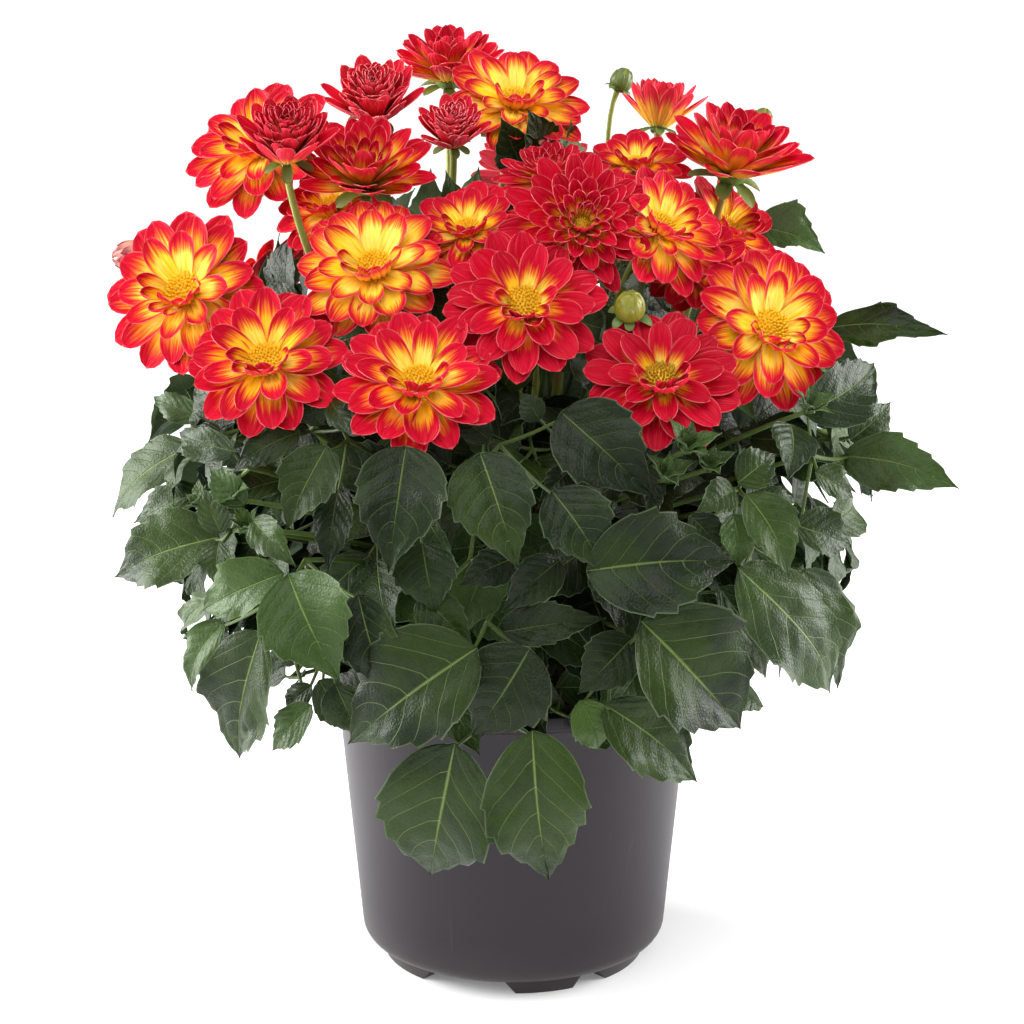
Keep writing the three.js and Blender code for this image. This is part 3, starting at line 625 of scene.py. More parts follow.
# The long stalk and the short ones taper along their steps. Their colour is that of a spot on a blade,
# beside its midrib.
STALK_RADII = [(1.55 - 0.03 * step) * MM for step in range(15)]
SHORT_STALK_RADII = [(1.1 - 0.05 * step) * MM for step in range(9)]
STALK_PLACE = (0.032, 0.1, 0.5)
STALK_OVERLAP = 3 * MM
# The leafy mound is an ellipsoid round the pot's axis, with these half sizes and this middle.
MOUND = Vector((212, 212, 178)) * MM
MOUND_MIDDLE = Vector((0, 0, 250)) * MM
FRONT = Vector((0, -1, 0))
BACK = Vector((0, 1, 0))

# Each leaf in view is its joint, then its leaflets. A leaflet is its base and tip, its width as a share of
# the length that's seen, and how bright a green it is, partly its own green and partly painted light and
# shade. A place is a pixel and how far out in the mound it lies, or None and its depth in mm.
LEAVES = {
    "leaf_01": [
        (250, 468, 0.86),
        ((188, 447, None, 15), (107, 515, None, 40), 0.62, 1.25),
        ((200, 492, None, -20), (132, 522, None, 0), 0.6, 1.3),
        ((236, 452, 0.98), (174, 430, 1), 0.55, 0.8),
    ],
    "leaf_02": [
        (232, 530, 0.92),
        ((220, 537, None, -70), (114, 577, None, -45), 0.72, 1.15),
        ((219, 541, 0.98), (217, 588, 1), 0.75, 1.1),
        ((221, 533, 0.99), (203, 487, 1.03), 0.7, 1.1),
        ((246, 505, 1), (208, 466, 1.04), 0.62, 1.35),
        ((253, 520, 1.02), (294, 566, 1.05), 0.6, 1.2),
    ],
    "leaf_03": [
        (292, 585, 0.88),
        ((284, 573, 0.97), (200, 611, 1), 0.62, 1.5),
        ((225, 622, 0.88), (187, 692, None, -95), 0.5, 1.4),
    ],
    "leaf_04": [
        (290, 640, 0.84),
        ((261, 631, 1), (237, 760, 1.05), 0.64, 1.1),
        ((312, 705, 0.93), (271, 751, None, -135), 0.6, 1.4),
    ],
    "leaf_05": [
        (305, 560, 0.9),
        ((288, 574, 1.03), (339, 682, 1.07), 0.82, 1.3),
        ((358, 594, 0.97), (391, 699, 1), 0.52, 0.9),
        ((335, 684, 0.96), (358, 737, 0.98), 0.75, 0.95),
    ],
    "leaf_06": [
        (348, 440, 0.84),
        ((327, 446, 1), (284, 529, 1.04), 0.66, 0.75),
        ((338, 490, 0.93), (328, 571, 0.95), 0.5, 0.65),
        ((330, 400, 0.9), (362, 436, 0.95), 0.6, 0.6),
    ],
    "leaf_07": [
        (410, 455, 0.86),
        ((406, 446, 1.01), (388, 573, 1.05), 0.72, 0.65),
        ((422, 543, 0.93), (436, 613, 0.95), 0.9, 0.7),
    ],
    "leaf_08": [
        (487, 622, 0.92),
        ((477, 648, 1), (343, 746, 1.05), 0.7, 0.7),
        ((530, 648, 0.96), (472, 736, 1), 0.9, 0.5),
        ((497, 633, 0.91), (606, 618, 0.93), 0.4, 0.5),
    ],
    "leaf_09": [
        (495, 712, 0.9),
        ((455, 743, 1.02), (427, 882, 1.17), 0.86, 1.05),
        ((532, 730, 1.02), (550, 885, 1.19), 0.67, 1.2),
    ],
    "leaf_10": [
        (500, 445, 0.86),
        ((480, 453, 0.98), (518, 569, 1.02), 0.7, 0.9),
        ((552, 491, 0.96), (606, 574, 1), 0.72, 0.85),
        ((561, 412, 0.92), (655, 498, 0.96), 0.7, 0.4),
    ],
    "leaf_11": [
        (640, 588, 0.86),
        ((586, 571, 0.99), (738, 561, 1.03), 0.68, 0.62),
        ((719, 587, 0.9), (769, 680, 0.93), 0.5, 0.8),
    ],
    "leaf_12": [
        (612, 660, 0.88),
        ((641, 621, 1.02), (748, 732, 1.08), 0.82, 0.85),
        ((604, 704, 0.94), (697, 782, 1.02), 0.6, 1),
        ((580, 700, 0.93), (600, 752, 0.96), 0.8, 2),
    ],
    "leaf_13": [
        (752, 548, 0.88),
        ((738, 568, 1.02), (843, 697, 1.06), 0.54, 1.1),
        ((802, 570, 0.94), (847, 692, None, -110), 0.5, 1.2),
    ],
    "leaf_14": [
        (738, 489, 0.98),
        ((738, 483, 1.03), (778, 453, 1.05), 0.85, 1),
        ((734, 490, 1.03), (697, 512, 1.05), 0.85, 1),
        ((746, 494, 1.03), (791, 577, 1.07), 0.58, 1.25),
    ],
    "leaf_15": [
        (812, 455, 0.9),
        ((843, 456, None, -70), (960, 485, None, -85), 0.56, 1.3),
        ((804, 415, 0.98), (881, 360, None, -85), 0.68, 1.1),
        ((815, 472, 0.95), (855, 498, 0.97), 0.7, 0.9),
        ((791, 425, 1), (789, 479, 1.03), 0.95, 1.05),
        ((795, 525, 0.92), (852, 545, None, -122), 0.8, 1.1),
    ],
    "leaf_16": [
        (790, 320, 0.82),
        ((826, 328, None, -24), (947, 333, None, -55), 0.45, 1.1),
        ((753, 227, 0.84), (826, 250, 0.9), 0.9, 1.5),
    ],
}
# The leaves at the back: the angle round the pot, the height of the joint, how far out the leaf spreads,
# and the degrees that it leans aside in each mm downwards.
BACK_LEAVES = {
    "leaf_17": (30, 284, 1, 0.07),
    "leaf_18": (70, 300, 1.075, -0.05),
    "leaf_19": (110, 288, 1.075, 0.08),
    "leaf_20": (150, 302, 1, -0.07),
}
# Their leaflets' bases and tips, in degrees and mm from the joint, and their widths.
BACK_LEAFLETS = [
    ((4, 22), (20, 46), 0.66),
    ((-4, 20), (-21, 34), 0.6),
    ((5, -12), (23, -28), 0.62),
    ((-5, -18), (-22, -44), 0.68),
    ((3, -52), (21, -90), 0.64),
    ((-3, -58), (-18, -106), 0.58),
    ((0, -74), (0, -148), 0.68),
]


def divided(a, b):
    return Vector((a.x / b.x, a.y / b.y, a.z / b.z))


def on_mound(place):
    """The point that a pixel sees on the mound, scaled by how far out it lies, or the nearest to it."""
    px, py, out, *depth = place
    if out is None:
        return point_at_depth(px, py, depth[0])
    ray = sight_line(px, py)
    start, course = divided(EYE - MOUND_MIDDLE, MOUND), divided(ray, MOUND)
    nearest = -start.dot(course) / course.length_squared
    miss = (start + course * nearest).length_squared
    return EYE + ray * (nearest - math.sqrt(max(0, out**2 - miss) / course.length_squared))


def seen_width(base, tip, wide):
    """A width given as a share of the length that's seen, as a share of the true length."""
    view = (base + tip) / 2 - EYE
    along = tip - base
    return wide * (along - view * along.dot(view) / view.length_squared).length / along.length


def round_mound(angle, height, out):
    width = MOUND.x * math.sqrt(1 - ((height * MM - MOUND_MIDDLE.z) / MOUND.z) ** 2)
    return round_pot(angle, out * width, height * MM)


def blade(shape, base, tip, wide, front, tone_light_and_shade, chance, cells):
    """A leaflet's toothed blade, a grid drawn out from base to tip and quilted between its veins. Its upper
    side is turned up, away from the pot's axis and to the way called front."""
    place_mark, tint_mark = marks(shape)
    length = (tip - base).length
    along = (tip - base) / length
    facing = 0.7 * level(base + tip).normalized() + 0.45 * UP + 0.6 * front
    normal = (facing - along * facing.dot(along)).normalized()
    across = along.cross(normal)
    arch, droop = ARCH * chance.uniform(0.7, 1.2), chance.uniform(0, 0.09)
    fold, sway, wave = chance.uniform(0.15, 0.42), chance.uniform(-0.05, 0.05), chance.uniform(0, 1)
    curl, lean = chance.uniform(-0.04, 0.2), chance.uniform(-0.1, 0.1)
    made = bmesh.ops.create_grid(shape, x_segments=cells[0], y_segments=cells[1], size=1)["verts"]
    luck = chance.random()
    for vert in made:
        u, v = vert.co.x, (vert.co.y + 1) / 2
        side, edge = math.copysign(1, u), abs(u)
        bow = math.sin(math.pi * v)
        half = 0
        if 0 < v < 1:
            fullness = 1.3 if v > BLADE_WIDEST else 0.72
            half = wide * length / 2 * math.sin(math.pi * v**BLADE_SKEW) ** fullness
        toothed = min(1, max(0, (v - 0.2) / 0.25)) * edge**6
        tooth = (v * TEETH + 0.4 * (side > 0)) % 1
        reach = half * (1 + lean * side + toothed * (TOOTH_DEPTH * tooth**1.4 - 0.05))
        phase = (v - edge * (0.2 + 0.15 * edge) * (1.1 - 0.5 * v)) * VEINS + 0.14 * side * (edge > 1e-6)
        quilt = (0.5 - 0.5 * math.cos(math.tau * phase)) * (1 - edge**2) * min(1, 4 * edge)
        lift = arch * bow - droop * v**3 + QUILT * quilt
        lift += WAVE * edge**2 * math.sin(math.tau * (2.1 * v + wave + 0.3 * side)) * bow
        lift += BUCKLE * bow * edge * noise.noise(Vector((3 * u, 3 * v, 50 * luck)))
        rise = fold * edge * reach - curl * edge**2 * reach
        vert.co = (
            base
            + along * length * (v + 0.02 * toothed * tooth * bow)
            + across * (u * reach + sway * length * bow * 0.6)
            + normal * (lift * length + rise)
        )
        vert[place_mark] = (0 if half == 0 else u, v, phase)
        vert[tint_mark] = (tone_light_and_shade, luck, 0)
    bmesh.ops.remove_doubles(shape, verts=made, dist=MERGE_DISTANCE)


def thickened(shape, thickness):
    """Gives the sheets in a shape a thickness and marks the new side. Sharp folds would throw its points far
    out, so each is kept near the point that it came from."""
    place_mark, tint_mark = marks(shape)
    shape.normal_update()
    tops = {(*vert[place_mark], *vert[tint_mark]): vert.co.copy() for vert in shape.verts}
    for part in bmesh.ops.solidify(shape, geom=shape.faces[:], thickness=thickness)["geom"]:
        if isinstance(part, bmesh.types.BMVert):
            top = tops[(*part[place_mark], *part[tint_mark])]
            offset = part.co - top
            if offset.length > 1.5 * thickness:
                part.co = top + offset.normalized() * 1.5 * thickness
            part[tint_mark].z = 1


def leaf(joint, leaflets, front, chance, cells=BLADE_CELLS):
    """A compound leaf: its blades, their short stalks, and the long stalk from its joint to the stem."""
    shape = marked_shape()
    for base, tip, wide, tone_light_and_shade in leaflets:
        blade(shape, base, tip, wide, front, tone_light_and_shade * chance.uniform(0.9, 1.1), chance, cells)
    thickened(shape, BLADE_THICKNESS)
    foot, top = cuttings[nearest_cutting(joint)]
    # The higher a leaf's joint, the higher its stalk leaves the cutting.
    start = foot.lerp(top, min(1, max(0, 0.25 + 2.1 * (joint.z - SOIL_TOP))))
    bend = (start + joint) / 2 + UP * 0.09 * (joint - start).length
    skin = {"place": STALK_PLACE, "tint": (leaflets[0][3], chance.random(), 0)}
    path = curve([start, bend, joint], len(STALK_RADII) - 1)
    swept(shape, path, STALK_RADII, 8, **skin)
    for base, tip, wide, tone_light_and_shade in leaflets:
        seat = base + (tip - base).normalized() * STALK_OVERLAP
        middle = (joint + seat) / 2 - UP * 0.06 * (joint - seat).length
        path = curve([joint, middle, seat], len(SHORT_STALK_RADII) - 1)
        swept(shape, path, SHORT_STALK_RADII, 6, **skin)
    return shape


def leaf_in_view(joint, leaflets, chance, cells=BLADE_CELLS):
    """A leaf given by pixels, with its leaflets' widths turned into shares of their true lengths."""
    found = []
    for base, tip, wide, tone_light_and_shade in leaflets:
        base, tip = on_mound(base), on_mound(tip)
        found.append((base, tip, seen_width(base, tip, wide), tone_light_and_shade))
    return leaf(on_mound(joint), found, FRONT, chance, cells)


leaf_finish = Finish("leaf_blade", {"Specular IOR Level": 0.2})
across, along, phase = leaf_finish.attribute("place")
tone_light_and_shade, luck, under = leaf_finish.attribute("tint")
edge = across.math("ABSOLUTE")
from_vein = ((phase + 10.5).math("FRACT") - 0.5).math("ABSOLUTE")
side_vein = from_vein.mask(0.04, 0) * edge.mask(1.05, 0.6)
midrib = (edge + along * 0.03).mask(0.05, 0.015)
vein = midrib + side_vein * 0.8
cell = leaf_finish.cells(850)
patch = leaf_finish.noise(24, 4, 0.6)
mottle = leaf_finish.noise(180, 3)
green = patch.mask(0.36, 0.62).blend((0.003, 0.01, 0.0004), (0.02, 0.045, 0.0007))
# Some leaves are greyed at random, partly a waxy bloom of their own and partly a painted sheen.
green = (luck * 0.22).blend(green, (0.022, 0.04, 0.014))
# Painted shade: a low tone darkens a leaf towards near-black green, most of all the inner leaves deep in the
# mound. A high tone turns it a brighter yellow-green, partly its own young green and partly painted light.
green = (tone_light_and_shade.mask(1, 0.35) * 0.85).blend(green, (0.005, 0.011, 0.002))
green = (tone_light_and_shade.mask(0.95, 1.6) * 0.8).blend(green, (0.058, 0.112, 0.022))
green = tone_light_and_shade.mask(1.6, 2.6).blend(green, (0.11, 0.22, 0.01))
green = (cell * 0.35).blend(green, (0.002, 0.006, 0.001))
vein_share = tone_light_and_shade.mask(0.4, 1.1) * 0.28 + 0.34
green = (vein * vein_share).blend(green, (0.2, 0.29, 0.08))
margin = edge.mask(0.955, 1)
green = (margin * 0.18).blend(green, (0.3, 0.38, 0.2))
swell = leaf_finish.noise(40, 2)
fine = cell * -0.45 + mottle * 0.5 + from_vein.mask(0, 0.5) * 0.3 - vein * 0.9
pale = patch.blend((0.06, 0.11, 0.05), (0.12, 0.19, 0.09))
pale = (vein * 0.5).blend(pale, (0.28, 0.37, 0.17))
leaf_finish.shade(
    {
        "Base Color": under.blend(green, pale),
        "Roughness": patch * 0.2 + mottle * 0.12 + under * 0.2 + 0.28,
        "Normal": leaf_finish.bump(fine, 0.5 * MM, leaf_finish.bump(swell, 4 * MM)),
    }
)

chance = random.Random(21)
for name, (joint, *leaflets) in LEAVES.items():
    shape = leaf_in_view(joint, leaflets, chance)
    finished(f"{name}_foliage", shape, leaf_finish, [name])
for name, (angle, height, spread, lean) in BACK_LEAVES.items():
    leaflets = []
    for base, tip, wide in BACK_LEAFLETS:
        low = round_mound(angle + base[0] - lean * base[1], height + base[1], 0.9 * spread)
        high = round_mound(angle + tip[0] - lean * tip[1], height + tip[1], 0.95 * spread)
        leaflets.append((low, high, wide, chance.uniform(0.6, 1.4)))
    shape = leaf(round_mound(angle, height, 0.82 * spread), leaflets, BACK, chance)
    finished(f"{name}_foliage", shape, leaf_finish, [name])


# Younger and inner leaves fill the mound all round behind those, lying like tiles just inside its
# surface, and a few stand up between the flower stems. They're the same leaves, on the same stems.
BETWEEN_CELLS, SHOOT_CELLS, INNER_CELLS = (10, 28), (8, 18), (6, 18)
# Each tier is how many leaves it has, their height in mm, how far out in the mound they start, how steeply
# they rise, their size in mm, the angle of the first, and how bright they are. The brightness is painted
# shade, kept low for these leaves behind the others and lowest for the inner tiers deep in the mound.
TIERS = [
    (14, 172, 0.66, -0.5, 48, 5, 0.8),
    (18, 212, 0.76, -0.5, 54, 14, 0.8),
    (20, 250, 0.76, -0.4, 56, 2, 0.85),
    (20, 290, 0.76, -0.1, 54, 10, 0.9),
    (16, 326, 0.72, 0.2, 48, 0, 0.9),
    (12, 352, 0.6, 0.6, 46, 20, 0.8),
    (8, 378, 0.4, 0.9, 44, 20, 0.7),
    (9, 196, 0.34, -0.3, 66, 12, 0.4),
    (11, 230, 0.5, -0.3, 72, 0, 0.4),
    (12, 262, 0.5, -0.2, 74, 18, 0.4),
    (12, 294, 0.5, -0.1, 74, 4, 0.4),
    (11, 326, 0.46, 0.1, 68, 10, 0.4),
]
# Their leaflets: the turn from the leaf's heading in degrees, then how far ahead of the joint each starts
# and its length, as shares of the leaf's size.
FAN = [(0, 0.12, 1), (58, 0.06, 0.78), (-58, 0.06, 0.78), (78, -0.3, 0.62), (-78, -0.3, 0.62)]
# How much less far out the leaves at the front start, so that those in view cover them.
FRONT_INSET = 0.1
# The lowest that their tips hang, and the widest that they reach at each height, in mm.
LOWEST_TIP = 145
OUTLINE = [(90, 105), (120, 125), (160, 150), (200, 170), (240, 180)]
OUTLINE += [(300, 182), (340, 165), (385, 125), (440, 110)]

# Leaves seen between the larger ones, given as in LEAVES.
BETWEEN = [
    [(820, 440, 0.8), ((850, 440, None, -60), (893, 402, None, -48), 0.8, 1.1)],
    [
        (735, 505, 0.86),
        ((752, 499, 0.98), (799, 500, 1), 0.62, 0.95),
        ((733, 514, 0.97), (739, 568, 0.99), 0.75, 1.4),
        ((690, 516, 0.95), (723, 554, 0.97), 0.7, 0.75),
    ],
    [
        (640, 470, 0.8),
        ((646, 466, 0.9), (655, 524, 0.93), 0.5, 0.6),
        ((700, 400, 0.9), (668, 446, 0.93), 0.6, 0.5),
    ],
    [
        (310, 430, 0.8),
        ((300, 432, 0.9), (232, 472, 0.93), 0.5, 0.7),
        ((322, 425, 0.88), (300, 392, 0.93), 0.7, 0.4),
        ((345, 430, 0.9), (396, 398, 0.93), 0.6, 0.4),
    ],
    [(215, 430, 0.8), ((203, 418, None, -20), (150, 395, None, 0), 0.5, 1.3)],
    [
        (470, 560, 0.82),
        ((420, 596, 0.92), (474, 649, 0.96), 0.62, 0.8),
        ((520, 556, 0.9), (458, 586, 0.93), 0.6, 0.5),
        ((560, 560, 0.88), (502, 612, 0.92), 0.6, 0.5),
        ((490, 440, 0.88), (448, 410, 0.92), 0.6, 0.4),
    ],
    [
        (325, 650, 0.82),
        ((319, 680, 0.93), (357, 736, 0.97), 0.6, 1.2),
        ((312, 686, 0.9), (286, 714, 0.93), 0.7, 0.6),
    ],
    [(622, 630, 0.84), ((632, 638, 0.95), (578, 694, 0.99), 0.75, 0.5)],
    [(215, 600, 0.8), ((214, 598, 0.9), (186, 642, None, -60), 0.6, 1.4)],
    [
        (560, 440, 0.8),
        ((540, 420, 0.9), (520, 392, 0.93), 0.8, 0.5),
        ((570, 470, 0.9), (540, 500, 0.92), 0.7, 0.4),
    ],
    [
        (300, 330, None, 20),
        ((292, 302, None, 0), (289, 236, None, -10), 0.9, 0.4),
        ((300, 304, None, 10), (266, 262, None, 5), 0.7, 0.4),
    ],
    [
        (535, 190, None, 30),
        ((520, 164, None, -6), (501, 118, None, -26), 1.0, 0.9),
        ((536, 162, None, -2), (530, 111, None, -28), 0.95, 0.8),
        ((548, 158, None, 10), (574, 122, None, -6), 0.75, 0.6),
    ],
]
# Young shoots with small bright leaves: where each stands and its size in mm.
SHOOTS = [
    ((236, 500, 1.0), 15),
    ((252, 530, 0.98), 13),
    ((205, 508, None, -70), 14),
    ((684, 452, 0.97), 16),
    ((664, 480, 0.95), 14),
    ((706, 470, 0.97), 13),
    ((805, 412, 0.98), 14),
]
# How many leaflets a shoot has, and the turn in radians from one to the next.
SHOOT_LEAFLETS, SHOOT_TURN = 7, 2.4


def before_a_head(point):
    """Whether a point lies in the space in front of a flower head, which is kept free of leaves."""
    for head in heads:
        height = (point - head.point).dot(head.axis)
        across = (point - head.point - head.axis * height).length
        if across < 1.15 * head.radius and -0.3 * head.radius < height < 2 * head.radius:
            return True
    return False


def drawn_in(point):
    """The point, moved towards the pot's axis if it lies outside the mound's outline."""
    height = min(point.z / MM, OUTLINE[-1][0])
    for (low, wide), (high, wider) in zip(OUTLINE, OUTLINE[1:]):
        if height <= high:
            share = max(0, (height - low) / (high - low))
            limit = (wide + (wider - wide) * share) * MM
            break
    reach = level(point).length
    return point if reach <= limit else level(point) * (limit / reach) + UP * point.z


def fanned(joint, outwards, heading, size, fan, tone_light_and_shade, chance):
    """The leaflets that spread from a leaf's joint, without those that would stand before a bloom."""
    lift = outwards + 0.5 * UP
    lift = (lift - heading * lift.dot(heading)).normalized()
    leaflets = []
    for turn, ahead, scale in fan:
        way = Quaternion(lift, math.radians(turn + chance.uniform(-8, 8))) @ heading
        base = joint + heading * ahead * size + way * 0.1 * size
        tip = drawn_in(base + (way - outwards * 0.12).normalized() * size * scale)
        wide = chance.uniform(0.55, 0.68)
        hides = any(before_a_head(base.lerp(tip, share)) for share in (0, 0.33, 0.66, 1))
        if tip.z > LOWEST_TIP * MM and not hides:
            leaflets.append((base, tip, wide, tone_light_and_shade))
    return leaflets


def shoot(joint, size, chance):
    """A tuft of small leaflets that turn round an upright tip, the later ones shorter."""
    outwards = level(joint).normalized()
    leaflets = []
    for index in range(SHOOT_LEAFLETS):
        turn = Quaternion((outwards + UP).normalized(), index * SHOOT_TURN + chance.uniform(-0.3, 0.3))
        aside = turn @ UP.cross(outwards).normalized()
        way = (aside * (0.75 - 0.06 * index) + outwards * 0.4 + UP * 0.55).normalized()
        base = joint + way * 2 * MM
        length = size * MM * (1.1 - 0.09 * index)
        leaflets.append((base, base + way * length, 0.55, chance.uniform(1.2, 1.7)))
    return leaf(joint, leaflets, UP, chance, SHOOT_CELLS)


chance = random.Random(33)
for tier, (count, middle, out, rise, leaf_size, first, shaded_brightness) in enumerate(TIERS):
    shape = marked_shape()
    for index in range(count):
        angle = first + 360 * index / count + chance.uniform(-6, 6)
        height = middle + chance.uniform(-16, 16)
        inward = FRONT_INSET if math.sin(math.radians(angle)) < -0.5 else 0
        joint = round_mound(angle, height, out - inward + chance.uniform(-0.05, 0.03))
        outwards = level(joint).normalized()
        beside = UP.cross(outwards) * chance.uniform(-0.5, 0.5)
        heading = (outwards * 0.55 + UP * rise + beside).normalized()
        size = leaf_size * MM * chance.uniform(0.85, 1.15)
        tone_light_and_shade = shaded_brightness * chance.choice((0.7, 1, 1, 1.3, 1.6))
        fan = FAN[: chance.choice((3, 5, 5))]
        leaflets = fanned(joint, outwards, heading, size, fan, tone_light_and_shade, chance)
        if leaflets:
            added(shape, leaf(joint, leaflets, outwards, chance, INNER_CELLS))
    finished(f"inner_foliage_{tier + 1}", shape, leaf_finish)

shape = marked_shape()
for joint, *leaflets in BETWEEN:
    added(shape, leaf_in_view(joint, leaflets, chance, BETWEEN_CELLS))
finished("foliage_between", shape, leaf_finish)

shape = marked_shape()
for spot, size in SHOOTS:
    added(shape, shoot(on_mound(spot), size, chance))
finished("young_shoots", shape, leaf_finish)


# The blooms are whorls of thin soft petals round a button of florets, lowest whorl first. Each petal is
# gold at its foot, streaking into crimson, with a pale rim that is partly its own and partly a painted
# highlight, shallow furrows and a tip that curls.
PETAL_THICKNESS = 0.3 * MM
PETAL_CELLS = (6, 9)
PETAL_WIDEST = 0.64
# How deep a petal's furrows and the ruffles of its edge are, as shares of its half width.
FURROW, RUFFLE = 0.11, 0.12
# How much further a bowl's petals are raised on its lower side, in degrees.
BOWL_LIFT = 20
# A whorl is its number of petals, the arc in degrees that they fill about the head's lower side, where
# they start (outwards, up), their length and half width, in head radii, then their pitch and curl in
# degrees, and how much they cup.
WHORLS = {
    "open": [
        (10, 360, 0.15, -0.16, 0.9, 0.225, 6, -4, 0.6),
        (10, 360, 0.14, -0.12, 0.85, 0.21, 15, -8, 0.7),
        (8, 360, 0.13, -0.08, 0.68, 0.17, 29, -8, 0.95),
        (6, 210, 0.17, -0.05, 0.48, 0.13, 50, 30, 1.6),
        (2, 90, 0.2, -0.04, 0.34, 0.11, 66, 50, 1.9),
    ],
    "double": [
        (12, 360, 0.15, -0.22, 0.95, 0.165, 4, 4, 0.65),
        (12, 360, 0.14, -0.18, 0.86, 0.15, 14, 2, 0.8),
        (12, 360, 0.13, -0.14, 0.73, 0.135, 26, 6, 1.0),
        (12, 360, 0.12, -0.1, 0.6, 0.12, 38, 12, 1.3),
        (11, 360, 0.12, -0.07, 0.47, 0.1, 50, 20, 1.6),
        (10, 360, 0.11, -0.04, 0.34, 0.08, 62, 30, 1.9),
    ],
    "bowl": [
        (10, 360, 0.15, -0.32, 0.98, 0.19, 16, 8, 0.7),
        (10, 360, 0.14, -0.28, 0.94, 0.185, 28, 8, 0.8),
        (10, 360, 0.13, -0.22, 0.86, 0.17, 40, 10, 0.9),
        (9, 360, 0.12, -0.16, 0.72, 0.15, 52, 12, 1.1),
        (7, 360, 0.12, -0.12, 0.52, 0.12, 62, 22, 1.5),
    ],
    "cup": [
        (10, 360, 0.18, -0.7, 1.2, 0.21, 42, 14, 0.8),
        (11, 360, 0.17, -0.62, 1.04, 0.18, 51, 20, 0.9),
        (12, 360, 0.16, -0.55, 0.9, 0.15, 60, 24, 1.1),
        (12, 360, 0.3, -0.22, 0.56, 0.13, 52, 6, 1.5),
        (11, 360, 0.24, -0.12, 0.52, 0.115, 58, 6, 1.6),
        (10, 360, 0.18, -0.04, 0.46, 0.1, 65, 8, 1.7),
        (8, 360, 0.12, 0.02, 0.38, 0.085, 73, 8, 1.8),
        (5, 360, 0.06, 0.05, 0.3, 0.065, 82, 8, 1.9),
    ],
    "fan": [
        (9, 360, 0.16, -0.7, 1.22, 0.22, 44, 16, 0.8),
        (9, 360, 0.14, -0.66, 1.18, 0.21, 56, 20, 0.9),
        (8, 360, 0.12, -0.6, 1.06, 0.18, 68, 24, 1.1),
        (7, 360, 0.08, -0.5, 0.9, 0.15, 78, 20, 1.3),
    ],
}


def petal(shape, head, turn, form, chance, cells=PETAL_CELLS):
    """One petal, a grid bent along its length and cupped across it."""
    place_mark, tint_mark = marks(shape)
    axis = head.axis
    out, up, length, half, pitch, curl, cup = form
    down = (axis * axis.z - UP).normalized() if abs(axis.z) < 0.99 else FRONT
    down = (down - axis * down.dot(axis)).normalized()
    outwards = Quaternion(axis, turn) @ down
    sideways = outwards.cross(axis)
    rows = cells[1]
    shares = [1 - (1 - row / rows) ** 1.3 for row in range(rows + 1)]
    path = [(out, up, pitch)]
    for a, b in zip(shares, shares[1:]):
        slope = pitch + curl * ((a + b) / 2) ** 1.5
        out += length * (b - a) * math.cos(slope)
        up += length * (b - a) * math.sin(slope)
        path.append((out, up, slope))
    sway, ruffle = chance.uniform(-0.05, 0.05), chance.uniform(-1, 1)
    luck = chance.random()
    widest = PETAL_WIDEST + chance.uniform(-0.06, 0.06)
    made = bmesh.ops.create_grid(shape, x_segments=cells[0], y_segments=rows, size=1)["verts"]
    for vert in made:
        u, row = vert.co.x, round((vert.co.y + 1) / 2 * rows)
        share = shares[row]
        out, up, slope = path[row]
        swell = 0.4 + 0.6 * math.sin(math.pi / 2 * min(1, share / widest))
        taper = max(0, share - widest) / (1 - widest)
        width = half * swell * (1 - taper**2.2) ** 0.64
        bend = cup * (1 - 0.45 * share)
        x = width * math.sin(bend * u) / bend
        z = width * (1 - math.cos(bend * u)) / bend + FURROW * width * math.cos(2.5 * math.pi * u)
        z += RUFFLE * width * ruffle * u**3 * math.sin(4 * share)
        vert.co = head.point + head.radius * (
            axis * (up + z * math.cos(slope))
            + outwards * (out - z * math.sin(slope))
            + sideways * (x + sway * share**2)
        )
        vert[place_mark] = (0 if width == 0 else u, share, luck)
        vert[tint_mark] = (head.gold, head.dark, 0)
    bmesh.ops.remove_doubles(shape, verts=made, dist=MERGE_DISTANCE)


def jittered(form, lift, chance):
    """A whorl's petal form in radians, with some luck in it."""
    out, up, length, half, pitch, curl, cup = form
    length *= chance.uniform(0.92, 1.06)
    half *= chance.uniform(0.92, 1.1)
    pitch = math.radians(pitch + lift + chance.uniform(-5, 5))
    curl = math.radians(curl + chance.uniform(-14, 14))
    return out, up, length, half, pitch, curl, cup * chance.uniform(0.6, 1.3)


def bloom_shape(head, chance):
    shape = marked_shape()
    start = chance.uniform(0, math.tau)
    for whorl, (count, degrees, *form) in enumerate(WHORLS[head.kind]):
        arc = math.radians(degrees)
        first = start + whorl * arc / count / 2 if degrees == 360 else -arc / 2 + arc / count / 2
        for index in range(count):
            turn = first + arc * index / count + chance.uniform(-0.12, 0.12)
            lift = BOWL_LIFT * max(0, math.cos(turn)) if head.kind == "bowl" else 0
            petal(shape, head, turn, jittered(form, lift, chance), chance)
    thickened(shape, PETAL_THICKNESS)
    return shape


petal_finish = Finish("petal_skin", {"Specular IOR Level": 0.06})
across, along, luck = petal_finish.attribute("place")
gold, dark, under = petal_finish.attribute("tint")
edge = across.math("ABSOLUTE")


def streaked(width, length):
    """Noise drawn out along the petal."""
    sockets = {"X": across * width, "Y": along * length, "Z": luck * 40}
    return petal_finish.noise(1.6, 3, 0.55, petal_finish.node("ShaderNodeCombineXYZ", {}, sockets))


